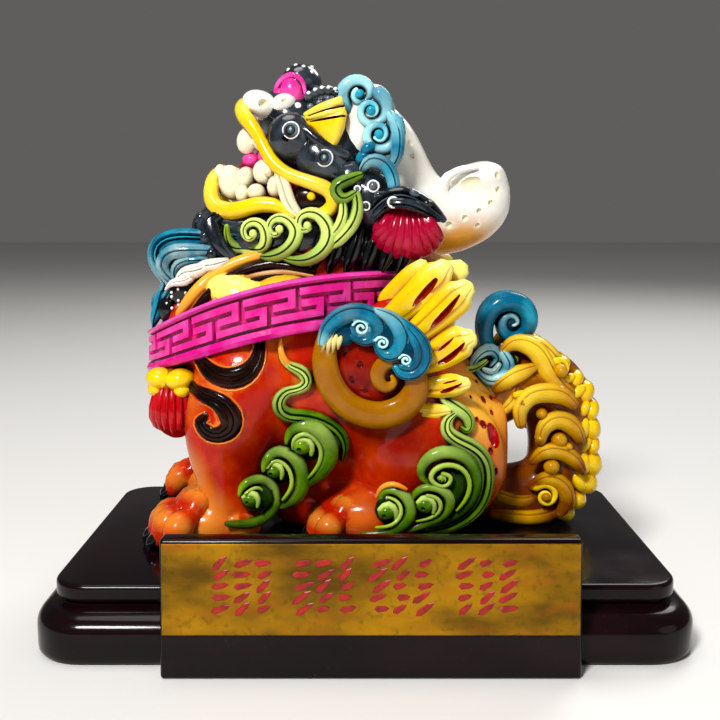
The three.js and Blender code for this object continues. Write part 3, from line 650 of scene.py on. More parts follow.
# Painted highlight and painted shade on the orange body: x, height, reach and strength. Positive
# strengths pale it to gold, a painted highlight on the rump, chest, paws and legs; negative ones
# darken it to deep red, a painted shade low on the body and under the wing and jaw.
BODY_LIGHT_AND_SHADE = [(20.5, 24, 7, 1.1), (2, 13, 8, 0.35), (-10, 24, 7, 0.25), (-20, 43, 7, 0.8), (-27, 6, 8, 0.5),
           (-29, 14, 4, 0.3), (-29, 26, 5, 0.3), (0, 6, 6, 0.35), (-14, 37, 6, 0.2), (24, 12, 5, 0.3),
           (-12, 16, 10, -0.32), (2, 14, 9, -0.42), (-19, 14, 6, -0.2), (10, 22, 7, -0.3), (12, 6, 8, -0.3),
           (-5, 40, 8, -0.2)]


def body_tones(mesh):
    x, _, z = places_of(mesh).T
    tones = sum(strength * np.exp(-((x - cx) ** 2 + (z - cz) ** 2) / reach ** 2)
                for cx, cz, reach, strength in BODY_LIGHT_AND_SHADE)
    return np.clip(tones, -0.4, 1)


def paw(side, centre, angles, reach, height, girth):
    """Toes that fan out from centre, each with two knuckles and a glossy dark claw. Their rows are
    shares of the reach, heights and shares of the girth."""
    toe = [(0.1, height * 0.9, 0.7), (0.36, height, 1.0), (0.6, height * 0.76, 0.86),
           (0.84, height * 0.62, 1.08), (1.0, height * 0.3, 0.8)]
    claw = [(0.9, height * 0.42, 0.56), (1.1, height * 0.3, 0.5), (1.22, 0.9, 0.3), (1.24, 0.2, 0.1)]
    for angle in angles:
        turn = math.radians(angle)
        ahead = np.array([-math.cos(turn), side * math.sin(turn), 0])
        # the toes' tones are painted highlight on each knuckle and painted shade between them
        for part, paint, per, tones in ((toe, "orange", 4, (-0.2, 0.5, -0.15, 0.45, -0.2)),
                                        (claw, "jet", 3, None)):
            rows = [(*(np.array([*centre, z]) + ahead * reach * share), girth * size)
                    for share, z, size in part]
            strand(rows, paint, (0, side, 0), per, tones=tones)


def feet(side):
    step = STEP[side]
    paw(side, (-25 + step, 13.4 * side), (-14, 8, 30, 54), 9.4, 7.6, 2.3)
    paw(side, (-0.4, 12.6 * side), (-8, 16, 42), 7.6, 6.2, 2.1)
    heel = [(-22.8 + step, 15.4, 4.6, 2.4), (-20.4 + step, 15.8, 4, 2.7), (-18.6 + step, 15, 3.4, 2)]
    # the heel lump is paler in its middle: painted highlight
    lock(heel, side, "orange", per=5, tones=(0.2, 0.5, 0.2))


def rump_spots(side):
    spots = [(21, 23.8, 0.6), (22.5, 23.8, 0.35), (20.4, 20.6, 0.65), (19.3, 21.5, 0.3), (21.6, 26.2, 0.35),
             (21.6, 16.2, 0.5), (22.6, 12.6, 0.5), (22.4, 21.6, 0.4), (20, 26.6, 0.25), (18.6, 24.6, 0.25)]
    pits(side, "rust", spots, tall=1.4, fine=(12, 6))
    ball(touch(22.2, 18.8, side)[0], (1.3, 1.2, 2.7), "red", fine=(16, 10), into=cuts)


def chest_stripes(side):
    crescent = [(-27.8, 32.6, 0.5), (-25.4, 30.4, 1.4), (-22.3, 29, 1.7), (-19.6, 29.2, 1.8),
                (-17.2, 31.2, 1.4), (-16.5, 34.6, 0.9)]
    hook = [(-28, 27, 1.1), (-25.3, 26, 1.4), (-22.2, 24.5, 1.8), (-21, 22.1, 1.9),
            (-21.5, 20.7, 1.7), (-23.3, 19.8, 1.4), (-25.3, 20.4, 1.3), (-26.1, 22, 1.0),
            (-24.9, 22.8, 0.7)]
    for rows in (crescent, hook):
        carved(rows, side, "brown", lift=-0.2, flat=0.4, grooves=(0.35, -0.35))
        for hand in (1, -1):
            carved(beside(rows, hand), side, "orange", lift=-0.02, tones=(0.2, 0.4, 0.2))


EDGE_LINE = 0.18  # radius of the lines beside the stripes


def beside(rows, hand):
    """A thin line that runs along one edge of a stripe."""
    rows = np.asarray(rows, float)
    along = unit(np.gradient(rows[:, :2], axis=0))
    edge = np.column_stack([-along[:, 1], along[:, 0]]) * hand
    places = rows[:, :2] + edge * (rows[:, 2:] + EDGE_LINE * 0.6)
    return [(x, z, EDGE_LINE) for x, z in places]


def neck_lines(side):
    """The bands that run from under the jaw round the chest above the collar."""
    lines = [
        ("orange", 0.35, [(-8.4, 47.6, 0.6), (-12.4, 48.6, 0.9), (-16.5, 48.4, 1.0), (-20.2, 47.4, 1.1),
                          (-23.3, 46, 1.15), (-26.1, 43.9, 1.15), (-28.6, 41.2, 1.1), (-30.4, 38.6, 0.9)]),
        ("brown", 0.1, [(-8, 45.9, 0.7), (-11.6, 46.6, 0.9), (-15.1, 46.9, 0.95), (-18.6, 46.2, 0.95),
                        (-21.8, 44.8, 0.95), (-24.7, 42.6, 0.9), (-27.2, 39.8, 0.8), (-28.8, 37.4, 0.5)]),
        ("tan", 0.3, [(-8, 45.1, 0.3), (-11, 45.6, 0.42), (-14.2, 45.7, 0.45), (-17.5, 45.2, 0.45),
                      (-20.6, 44.1, 0.45), (-23.2, 42.1, 0.45), (-25.4, 39.6, 0.4), (-27, 37.2, 0.3)]),
        ("brown", 0.0, [(-9.4, 44.5, 0.4), (-14, 44.9, 0.5), (-17.4, 44.5, 0.5), (-20.3, 43.3, 0.5),
                        (-22.8, 41.3, 0.5), (-24.8, 38.8, 0.4)]),
    ]
    for paint, lift, rows in lines:
        # the orange band's tones are a painted highlight along it
        carved(rows, side, paint, lift, tones=(0.5, 0.9, 0.6) if paint == "orange" else None)
    # the chest's swell above the collar, yellow and paler on top: painted highlight on the orange
    ball((-18.6, 9.2 * side, 40.8), (8, 5.6, 4.3), "yellow", turn=20, fine=(26, 14), tone=0.8)
    ball((-12, 10.4 * side, 42.4), (6, 4.6, 3), "amber", turn=4, fine=(20, 12), tone=0.5)


# Head

def head_cores():
    skull = egg((-3, 0, 65.5), (9.4, 9.2, 10))
    muzzle = egg((-11, 0, 70.2), (8, 6.8, 5.4), 38)
    head = fused([skull, muzzle], 6, "head", "black")
    jaw = fused(limb([(0, 0, 53, 5), (-14, 0, 52.6, 4.6), (-25.2, 0, 54, 3.4)], 2.0), 4, "jaw", "black")
    return [head, jaw]


def nose(side):
    ball((-11.6, 2.9 * side, 75.4), (2.2, 2, 3), "pink", turn=-6, fine=(20, 14))
    ball((-14, 2 * side, 75), (1.1, 1.5, 2), "pink", turn=16)
    rim = [(-14.4, 2.2, 73.6, 0.3), (-14.5, 2.6, 76, 0.42), (-13.3, 3.2, 77.9, 0.48),
           (-11.5, 3.9, 78.5, 0.45), (-9.9, 4.2, 77.4, 0.4), (-9.4, 4.3, 75.4, 0.3)]
    lock(rim, side, "magenta", out=(-0.3, 1, 0), per=4)
    ball((-12.2, 2 * side, 72.6), (3, 3.4, 1.6), "pink", turn=10)
    ball((-17, 2.9 * side, 73.6), (3.4, 3.3, 2.4), "white", turn=24, fine=(24, 14))
    ball((-13, 3.9 * side, 73.6), (2.3, 2.6, 1.9), "white", turn=-14)
    ball((-10.8, 4.6 * side, 72.8), (1.2, 1.3, 1.2), "white", fine=(12, 8))
    ball((-16.3, 6.1 * side, 73.6), (0.95, 0.9, 0.8), "ivory", fine=(12, 8), into=cuts)
    ball((-12.9, 6.5 * side, 74), (0.5, 0.6, 0.4), "ivory", fine=(10, 6), into=cuts)


def crest_ball():
    """The black ball over the nose, with its white dots."""
    centre, halves = np.array([-10.3, 0, 77.4]), np.array([3.6, 4.2, 3.45])
    ball(centre, halves, "black", fine=(28, 18))
    for turn, rise in ((-50, 30), (-100, 20), (-75, 52), (-140, 40), (-120, 62), (-20, 55), (50, 30),
                       (100, 20), (75, 52), (140, 40), (20, 55)):
        a, b = math.radians(turn), math.radians(rise)
        spoke = np.array([math.cos(a) * math.cos(b), math.sin(a) * math.cos(b), math.sin(b)])
        ball(centre + spoke * halves * 0.95, 0.4, "white", fine=(10, 7))


def lip_facing(rows):
    """A lip looks sideways, and more and more ahead towards the muzzle's front."""
    return [(min(0, x + 14) * 0.12, 1, 0) for x, _, _, _ in rows]


def mouth(side):
    s = side
    upper = [(-19.8, 0, 74.2, 1.2), (-20.2, 3, 73.2, 1.4), (-19.6, 5.2, 71.6, 1.4), (-18.3, 6.6, 70, 1.25),
             (-16.9, 7.4, 67.8, 1.1), (-15.8, 8.2, 65.6, 1.1), (-14.3, 9, 63.5, 1.15),
             (-12.2, 9.7, 61.9, 1.15), (-9.6, 10.3, 60.9, 1.15), (-7, 10.8, 60, 1.25), (-5, 11, 58.8, 1.3),
             (-4.6, 11, 57, 1.25), (-5.8, 10.8, 55.6, 1.2), (-7.6, 10.5, 55.2, 0.9)]
    lower = [(-24, 0, 62.6, 1.3), (-25, 2.4, 61.6, 1.5), (-25.5, 4.6, 59.4, 1.5), (-25, 5.8, 57.1, 1.5),
             (-22.8, 6.8, 55.9, 1.5), (-20, 7.8, 56.1, 1.45), (-17, 8.6, 56.8, 1.4),
             (-13.6, 9.4, 56.4, 1.2), (-11, 10, 55.1, 1.0), (-8.2, 10.4, 54.7, 0.8)]
    strap = [(-13.6, 9, 62, 0.9), (-12.7, 9.8, 59.6, 1.2), (-11.9, 10.1, 57.2, 1.2),
             (-10.2, 10.3, 54.9, 0.9)]
    # the lips' tones are painted highlight on the yellow
    lock(upper, s, "yellow", lip_facing(upper), flat=0.9, tones=(0.4, 0, 0.3, 0))
    lock(lower, s, "yellow", lip_facing(lower), flat=0.9, tones=(0.5, 0.2, 0, 0.2))
    lock(strap, s, "ivory", lip_facing(strap), flat=0.8, grooves=(0.2,))
    ball((-8.2, 8.6 * s, 57.6), (3.8, 1.9, 2.8), "brown")
    ball((-8.2, 10.5 * s, 58.2), 0.75, "yellow", fine=(10, 8))
    ball((-15, 2.6 * s, 61.4), (6.2, 3.2, 3.6), "crimson", turn=20)
    ball((-18.6, 3.8 * s, 64.4), (1.7, 1.8, 1.3), "pink", fine=(14, 10))
    ball((-16.4, 5.2 * s, 64.9), (1.1, 1.3, 1.3), "pink", fine=(12, 8))
    teeth = [(-19.2, 4.6, 67.6, 1.9, 2.3, 14), (-17, 6, 67.6, 1.3, 1.9, -8),
             (-16.4, 6.3, 62.3, 1.9, 2.1, 0), (-19.6, 5, 61.4, 1.6, 1.9, 12),
             (-22.1, 4.8, 60.6, 2.2, 3, -10), (-24, 2.8, 61.2, 1.4, 2.6, -6), (-14.2, 7.6, 59.9, 1.6, 2, 6),
             (-17.6, 7, 58.9, 1.6, 1.5, 0), (-20, 6.2, 58.6, 1.3, 1.7, -6), (-15.4, 7.4, 62.6, 1.1, 1.2, 0)]
    for x, y, z, wide, tall, turn in teeth:
        ball((x, y * s, z), (wide, 1.5, tall), "ivory", turn=turn, fine=(14, 9))


def cheeks(side):
    s = side
    ball((-11.6, 6.4 * s, 67.8), (4.4, 3.8, 4.4), "black", turn=30, fine=(24, 14))
    ball((-6, 7.3 * s, 63.9), (5.6, 3.6, 4.2), "black", turn=34, fine=(24, 14))
    ball((-1.6, 8.2 * s, 61), (3.8, 3.2, 3.4), "black")
    for x, y, z in ((-11.5, 10, 68.9), (-6, 10.7, 64.4)):
        facing = (-0.15, s, 0.12)
        hoop(np.array([x, y * s, z]), 1.34, 0.15, "white", facing, steps=24)
        hoop(np.array([x, (y + 0.15) * s, z]), 0.98, 0.28, "black", facing, steps=20)
        ball((x, (y + 0.1) * s, z), (0.72, 0.7, 0.72), "black", fine=(14, 8))
        ball((x, (y + 0.62) * s, z + 0.1), (0.3, 0.3, 0.3), "teal", fine=(8, 6))


def eyelid(side):
    s = side
    lid = [(-9.4, 8, 70.9, 0.5), (-7.6, 8.8, 70.5, 1.4), (-5.6, 9.4, 69.9, 2.5), (-3.7, 9.5, 69.3, 3.6)]
    fold = [(-9.3, 8.2, 71.5, 0.4), (-7, 9, 72.4, 0.7), (-5, 9.4, 73.1, 0.8), (-3.2, 9.3, 73.7, 0.8)]
    inner = [(-9.1, 8.6, 71, 0.3), (-7, 9.5, 71.4, 0.55), (-5, 9.9, 71.9, 0.65), (-3.2, 9.8, 72.2, 0.6)]
    lock(lid, s, "yellow", out=(-0.1, 1, 0.05), per=4, flat=0.45, plane=0.75, tones=(0, 0.1, 0.3),
         blunt=0.3)
    lock(fold, s, "yellow", out=(0, 1, 0.3), per=4, tones=(0.3, 0.6), blunt=0.4)
    lock(inner, s, "yellow", out=(0, 1, 0.2), per=4, tones=(0.3, 0.6), blunt=0.4)
    for rows in ([(-8.7, 9.1, 71.3, 0.15), (-6, 9.9, 72, 0.25), (-2, 10.3, 73.1, 0.2)],
                 [(-8.5, 9, 70.4, 0.12), (-6, 10, 70.7, 0.22), (-2, 10.6, 71.3, 0.18)]):
        lock(rows, s, "brown", out=(0, 1, 0.2), flat=2.4, into=cuts)
    under = [(-10.4, 8.4, 70.4, 0.6), (-8.4, 9.2, 68.4, 0.9), (-5.8, 9.8, 66.4, 0.95),
             (-2.4, 9.8, 64.8, 0.8)]
    lock(under, s, "black", out=(0, 1, 0.3), per=4)
    for i in range(6):
        t = i / 5
        place = (-8.6 + 5.6 * t, (6.8 + 1.5 * t) * s, 74 + 1.5 * math.sin(math.pi * (0.15 + 0.7 * t)))
        ball(place, 0.85, "black", fine=(10, 7))
        # a painted highlight: a white glint on each black bead
        ball((place[0] - 0.1, place[1] + 0.5 * s, place[2] + 0.45), 0.36, "white", fine=(8, 5))
    for i in range(4):
        place = (-8.4 + 1.5 * i, (7.6 + 0.3 * i) * s, 72.9 + 0.6 * i)
        ball(place, 0.55, "black", fine=(10, 6))


def head_curls(side):
    ball((1, 5.6 * side, 70), (4.6, 4, 7), "white", turn=16, fine=(22, 14))
    scroll(side, (-0.2, 74.8), (-2.7, 72.8), 1.25, 0.46, 0.9, 7.8)
    scroll(side, (1.6, 72), (3, 74.8), 1.5, 0.44, 0.7, 9)
    scroll(side, (2.9, 68.2), (5.5, 70.4), 1.5, 0.44, 0.8, 9.6)
    for x, y, z, r in ((0.6, 10, 64.6, 1.2), (1.2, 10.4, 66, 1.0)):
        ball((x, y * side, z), (r * 1.4, 1, r), "blue", turn=-30, fine=(14, 8))
    tail = [(4.8, 10, 71.4, 0.8), (5.9, 10.4, 68.8, 1.1), (6, 10.8, 66, 1.15), (5.4, 11, 63.8, 1.0),
            (4.2, 11, 62.6, 0.7)]
    wave = [(0.2, 10.6, 62.6, 0.6), (1.6, 11.2, 63.9, 1.1), (3.7, 11.6, 63.4, 1.2), (5, 12, 61.4, 1.15),
            (5.4, 12.4, 59.2, 1.0), (5.2, 12.6, 57.2, 0.4)]
    for rows in (tail, wave):
        lock(rows, side, "blue", grooves=(-0.3,), depth=0.2, tones=(0.6, 0.1, 0.5))


def nape(side):
    s = side
    ball((2, 8.6 * s, 57.4), (4.6, 3.6, 5), "black")
    for x, z, radius in ((2, 59.8, 0.9), (0.8, 56.6, 0.65), (3.4, 57.2, 0.5), (-0.6, 59.4, 0.45)):
        centre = np.array([x, 12.1 * s, z])
        hoop(centre, radius, 0.18, "white", (0, s, 0.1), steps=14)
        ball(centre, (radius * 0.8, 0.6, radius * 0.8), "black", fine=(10, 6))
    ball((0, 4.6 * s, 49.4), (9.4, 7, 4.6), "jet")
    for i in range(6):
        x = -7.4 + 2.9 * i
        hair = [(x + 1.6, 10.4, 53.4, 0.9), (x + 0.8, 11.2, 50.4, 1.3), (x - 0.2, 11.4, 47.6, 1.1),
                (x - 1, 11.2, 45.6, 0.4)]
        lock(hair, s, "jet", grooves=(0.0,))
    for i in range(4):
        fur = [(5 + 1.6 * i, 8.6, 50.4, 0.8), (6 + 1.7 * i, 9, 48 + 0.2 * i, 1.0),
               (8.4 + 1.8 * i, 8, 46.6 + 0.4 * i, 0.35)]
        lock(fur, s, "tan" if i % 2 else "brown")


def ear(side):
    s = side
    ball((7.6, 10.8 * s, 51.9), (5.9, 3, 4.2), "crimson", turn=6, fine=(26, 16))
    for t in np.linspace(0, 1, 9):
        angle = math.radians(192 + 156 * t)
        end = np.array([7.7 + 5.4 * math.cos(angle), 11.8, 52 + 3.5 * math.sin(angle)])
        root = np.array([5 + 5.2 * t, 12, 56.4 - 0.8 * abs(t - 0.4)])
        swell = np.array([0, 1.3, 0])
        rows = [(*root, 0.5), (*(root * 0.6 + end * 0.4 + swell), 0.78),
                (*(root * 0.2 + end * 0.8 + swell * 0.8), 0.95), (*end, 0.75)]
        lock(rows, s, "crimson")
    rim = [(1.6, 11, 55.6, 1.0), (3.8, 12.2, 57.6, 1.5), (6.6, 12.8, 58.3, 1.6), (9.2, 12.8, 57.5, 1.5),
           (11.6, 12.2, 56, 1.2), (13.6, 11.4, 54.4, 0.6)]
    frill = [(2.4, 12, 55, 0.6), (4.6, 13.8, 56.8, 0.9), (7.4, 14.4, 56.9, 1.0), (10.2, 13.6, 55.9, 0.9),
             (12.8, 12, 54.4, 0.5)]
    lock(rim, s, "black", out=(0, 1, 0.3), per=4, grooves=(0.5, 0))
    lock(frill, s, "black", per=4, grooves=(0.2,))
    hoop(np.array([5.2, 14.5 * s, 57.2]), 0.8, 0.22, "white", (0, s, 0.2), steps=16)
    for x, y, z in ((3, 12.8, 58.4), (8.6, 14.2, 58.6), (10.8, 13.4, 57)):
        ball((x, y * s, z), (0.9, 0.7, 0.6), "black", turn=20, fine=(10, 7))


def horn_core():
    shaft = limb([(0, 0, 73, 4), (3.4, 0, 66.6, 6.6), (6.4, 0, 59, 7.6), (12, 0, 54.8, 6.8),
                  (17.4, 0, 55, 6), (21.2, 0, 57.6, 5.2), (21.6, 0, 60, 4.4)], 0.86)
    tip = egg((20.2, 0, 61), (5.4, 4.8, 3.3), -16)
    nape_mass = egg((5.4, 0, 53), (8, 8.4, 9.5), -20)
    horn = fused([*shaft, tip, nape_mass], 8, "horn", "white")
    x, _, z = places_of(horn.data).T
    stain = np.exp(-((x - 18) ** 2 / 40 + (z - 51) ** 2 / 14))
    stain += 0.8 * np.exp(-((x - 11) ** 2 / 30 + (z - 47) ** 2 / 16))
    store(horn.data, "tone", 1 + np.clip(stain, 0, 1))
    return horn


def horn_dimples(side):
    ball((17.9, 5.6 * side, 60.3), (3.1, 2.2, 1.5), "ivory", turn=-18, into=cuts)
    brim = [(14.6, 3.6, 58.8, 0.5), (14.6, 4, 61, 0.7), (16.6, 4.2, 62.6, 0.7), (19.6, 4.2, 63.2, 0.5)]
    lock(brim, side, "white", out=(0, 1, 0.3), per=4)
    pits(side, "ivory", [(8.4, 67.3, 0.65), (8.7, 65, 0.45), (23.4, 61.8, 0.7), (23.6, 59.4, 0.65),
                         (22.2, 57.2, 0.5), (17.8, 54.6, 0.6), (15, 53.4, 0.65), (20.2, 55.8, 0.5),
                         (12.6, 53.2, 0.4), (20, 53.4, 0.45)])


def jaw_curls(side):
    s = side
    spirals = [
        (2.2, [(-22.4, 53.3, 0.4), (-22.2, 50.9, 0.8), (-20.2, 49, 1.1), (-17.4, 49.3, 1.2),
               (-15.7, 51.3, 1.1), (-16.2, 53.2, 0.95), (-18, 53.9, 0.85), (-19.4, 52.7, 0.7),
               (-18.7, 51.3, 0.6), (-17.6, 51.9, 0.5)]),
        (2.0, [(-17.2, 48.2, 0.4), (-14.5, 48.4, 1.0), (-11.8, 49.8, 1.2), (-10.7, 52.2, 1.2),
               (-12, 54.1, 1.0), (-14, 54.5, 0.85), (-15.2, 53.1, 0.65), (-14.3, 51.9, 0.6),
               (-13.2, 52.6, 0.5)]),
        (1.8, [(-12.8, 48.1, 0.4), (-9.3, 47.8, 1.05), (-6.4, 49.4, 1.3), (-5.3, 52.4, 1.35),
               (-6.6, 54.8, 1.2), (-8.8, 55.4, 1.0), (-10.2, 54.2, 0.75), (-9.6, 52.7, 0.6),
               (-8.4, 53, 0.5)])]
    # painted highlight: the curls pale towards their eyes, and their knobs are palest
    for lift, rows in spirals:
        carved(rows, s, "green", lift, 4, (0.2, 0.4, 0.9, 1, 0.9, 1), grooves=(0.1,), depth=0.3)
    for x, z, lift in ((-17.8, 52.1, 2.7), (-13.4, 52.8, 2.5), (-8.8, 53.4, 2.2)):
        ball((x, (depth_at(x, z, s) + lift) * s, z), 0.75, "green", fine=(12, 8), tone=1)
    for x, z, wide in ((-18.2, 51, 3.2), (-13.8, 51.2, 3), (-9, 51.6, 3.8)):
        ball((x, (depth_at(x, z, s) - 0.6) * s, z), (wide, 1.4, wide), "black", fine=(20, 8))
    knot = [(-0.2, 11.6, 61.6, 0.7), (-2.4, 12, 60.7, 1.1), (-4.1, 12.2, 59.3, 1.15),
            (-3.2, 12.4, 57.9, 1.0), (-1.2, 12.2, 58.6, 0.7)]
    first = [(-0.8, 11.8, 58.6, 0.8), (-0.6, 12.2, 56, 1.1), (-1.6, 12.2, 53.4, 1.15), (-3.8, 12, 51, 1.1),
             (-6.2, 11.4, 49.2, 0.8), (-9.2, 10.6, 47.8, 0.3)]
    second = [(-3, 12, 57.6, 0.6), (-2.9, 12.4, 55.2, 0.9), (-3.9, 12.4, 52.9, 0.9), (-5.8, 12, 51, 0.7)]
    for rows, tones in ((knot, (0.1, 0.3)), (first, (0.3, 0.9, 0.4)), (second, (0.7, 1, 0.7))):
        lock(rows, s, "green", grooves=(0.0,), tones=tones)


def jaw_hair(side):
    """Dark locks that hang from the jaw's front."""
    for i, (x, y) in enumerate(((-27.6, 1.2), (-27, 3.6), (-26, 5.4), (-25, 6.6))):
        rows = [(x + 1.6, y, 55.4, 0.9), (x - 0.2, y, 53.8, 1.6), (x + 0.4, y + 0.6, 51.4, 1.7),
                (x + 2.2, y + 0.8, 48.8, 1.4), (x + 4.4, y + 0.6, 47.4, 0.6)]
        lock(rows, side, "black", out=(-0.6, 1, 0), per=4, grooves=(0.2,) if i % 2 else (0.5, -0.2))
    for x, y, z, size in ((-27.4, 4.6, 54.4, 1.1), (-26.4, 7.2, 51.4, 1.0), (-25.2, 7.8, 48.6, 1.0)):
        ball((x, y * side, z), (size, size, size * 1.2), "black", fine=(12, 8))


# Beard, collar and tassel

def beard():
    path = [(-20.6, 51.2), (-25, 51.1), (-28.6, 51.2), (-32.6, 51.1), (-35.2, 49.9), (-36, 47.8),
            (-35.2, 45.6), (-34, 43.6), (-34.8, 41.4), (-36, 39.8), (-36.4, 37.8)]
    girths = [0.9, 1.4, 1.6, 1.7, 1.7, 1.6, 1.5, 1.5, 1.4, 1.3, 0.6]
    for y in (-6.4, -3.8, -1.3, 1.3, 3.8, 6.4):
        back = 0.06 * y * y
        rows = [(x + back * t / 10, y * (1 - 0.03 * t), z, g)
                for t, ((x, z), g) in enumerate(zip(path, girths))]
        strand(rows, "blue", (0, -1 if y < 0 else 1, 0), per=3, grooves=(0.4, -0.1), flat=1.1,
               tones=(0, 0, 0.4, 0))
    for side in SIDES:
        inner = [(-25.6, 7.4, 49.2, 0.9), (-30.2, 7.4, 49.2, 1.3), (-33, 6.8, 48.4, 1.3),
                 (-33.9, 6.4, 46.6, 1.2), (-32.8, 6, 44.6, 0.9)]
        second = [(-26, 7.4, 47.4, 0.8), (-29.6, 7.2, 47.4, 1.0), (-31.6, 6.6, 46.2, 0.9),
                  (-31.8, 6.4, 44.4, 0.6)]
        lock(inner, side, "teal", grooves=(0.0,))
        lock(second, side, "teal", grooves=(0.0,))
        low = [(-34.6, 4.6, 41.6, 0.7), (-35, 5, 39.4, 1.1), (-35.8, 4.8, 37.2, 0.8),
               (-36.2, 4.4, 35.8, 0.3)]
        lock(low, side, "blue", grooves=(0.0,))
        ball((-29.4, 6.2 * side, 42.4), (3.6, 2.6, 3.6), "jet", turn=24)
        ball((-33.2, 5 * side, 39), (2, 2.2, 2.6), "jet")
        for x, z, turn, size in ((-27.8, 45.8, 0, 1.0), (-25, 46.8, -10, 0.9), (-29.6, 44.2, 20, 0.7)):
            lean = math.radians(turn)
            tuft = [(x + 2.4 * math.cos(lean), 8.6, z + 1.1 + 2.4 * math.sin(lean), size * 0.7),
                    (x, 9, z, size * 1.3), (x - 2.2, 8.6, z - 0.4, size * 0.9),
                    (x - 3.6, 8, z - 1.6, size * 0.25)]
            lock(tuft, side, "white", out=(0, 1, 0.3), grooves=(0.4, -0.2))
        for i in range(15):
            x = -32.2 + 1.25 * (i % 5)
            z = 39.4 + 1.35 * (i // 5) + 0.6 * (i % 2)
            place = (x, (8.6 - 0.12 * (x + 29.6) ** 2) * side, z)
            ball(place, (0.3, 0.35, 0.3), "white", fine=(6, 4))
    ball((-28, 0, 44), (6.2, 7.2, 7.4), "jet", turn=20)


# The collar's band is an oval around the neck's root, low at the breast and high at the shoulders.
COLLAR_MIDDLE = -14.5
COLLAR_HALF_LENGTH = 21.8
COLLAR_HALF_WIDTH = 16.8
COLLAR_HEIGHT = 40  # at its sides
COLLAR_SLOPE, COLLAR_DIP = 5, 3.6  # how it climbs from breast to back, and dips at both
BREAST_FROM, BREAST_NARROWING = -0.4, 0.32  # where it begins to narrow to the breast, and how fast
COLLAR_STEPS = 96


def band(angle, up, out):
    """The place on the band at an angle, a height across it and a distance outwards."""
    ahead = math.cos(angle)
    spread = 1 - BREAST_NARROWING * max(BREAST_FROM - ahead, 0) ** 1.2
    outwards = unit(np.array([ahead / COLLAR_HALF_LENGTH, math.sin(angle) / COLLAR_HALF_WIDTH, 0]))
    centre = np.array([COLLAR_MIDDLE + COLLAR_HALF_LENGTH * ahead, COLLAR_HALF_WIDTH * math.sin(angle),
                       COLLAR_HEIGHT + COLLAR_SLOPE * ahead - COLLAR_DIP * ahead ** 2 + up * spread])
    return centre + outwards * out


# Its section, as heights and distances outwards, with a floor between two rims
COLLAR_SECTION = [(-3.6, -1.2), (-4.4, -0.6), (-4.7, 0.6), (-4.5, 1.5), (-3.7, 1.9), (-2.9, 1.6),
                  (-2.7, 0.5), (3.1, 0.5), (3.25, 1.3), (3.7, 1.7), (4.2, 1.4), (4.3, 0.6), (4, -1.2)]
COLLAR_FLOOR = (6, 7)


def collar():
    angles = np.linspace(0, 2 * math.pi, COLLAR_STEPS, endpoint=False)
    points = [band(a, up, out) for a in angles for up, out in COLLAR_SECTION]
    sides = len(COLLAR_SECTION)
    # painted shade: the floor between the rims, at tone 1, takes the magenta's dark tip colour
    dark = [float(j in COLLAR_FLOOR) for j in range(sides)] * COLLAR_STEPS
    forms.add(points, loop_faces(COLLAR_STEPS, sides), "magenta", tones=dark)
    fret()


# Lengths along the band at fine angles, so that its bars can be evenly long
RIM_ANGLES = np.linspace(0, 2 * math.pi, 721)
RIM = np.array([band(a, 0, 0.7)[:2] for a in RIM_ANGLES])
RIM_LENGTHS = np.concatenate([[0], np.cumsum(np.linalg.norm(np.diff(RIM, axis=0), axis=1))])

HOOKS = 14
HOOK_BAR, HOOK_GAP = 1.42, 0.45  # widths of a bar and of the gap to the next
HOOK_TOP, HOOK_BOTTOM = 2.85, -2.4
BAR_FLOOR, BAR_HEIGHT, BAR_SLOPE = 0.2, 1.4, 0.14
BAR_STEP = 1.2  # the longest piece of a bar that is left straight


def fret():
    """Two rows of hooked bars, one hanging from the upper rim and one standing on the lower."""
    pitch = RIM_LENGTHS[-1] / HOOKS
    middle = (HOOK_TOP + HOOK_BOTTOM) / 2
    for i in range(HOOKS):
        for start, edge, hand in ((i * pitch, HOOK_TOP, 1), ((i + 0.5) * pitch, HOOK_BOTTOM, -1)):
            right = start + pitch - HOOK_GAP
            fret_bar(start, right, *sorted((edge, edge - hand * HOOK_BAR)))
            half = hand * HOOK_BAR * 0.5
            fret_bar(right - HOOK_BAR, right, *sorted((edge - half, middle - half)))
            fret_bar(start + pitch / 2 + HOOK_GAP * 0.6, right, middle - HOOK_BAR / 2,
                     middle + HOOK_BAR / 2)


def fret_bar(left, right, low, high):
    """One bar between two lengths along the band and two heights across it."""
    places = np.linspace(left, right, max(2, math.ceil((right - left) / BAR_STEP)) + 1)
    rings = []
    for place in places:
        inset = BAR_SLOPE if place in (places[0], places[-1]) else 0
        shift = inset if place == places[0] else -inset
        corners = [(low, BAR_FLOOR, 0), (low + BAR_SLOPE, BAR_HEIGHT, shift),
                   (high - BAR_SLOPE, BAR_HEIGHT, shift), (high, BAR_FLOOR, 0)]
        rings.append([band(rim_angle(place + move), up, out) for up, out, move in corners])
    rings = np.array(rings)
    skin(rings, rings[0].mean(axis=0), rings[-1].mean(axis=0), "magenta", forms)


def rim_angle(length):
    return np.interp(length % RIM_LENGTHS[-1], RIM_LENGTHS, RIM_ANGLES)


TASSEL_X, TASSEL_Y = -31.4, -10.6
TASSEL_THREADS = 20


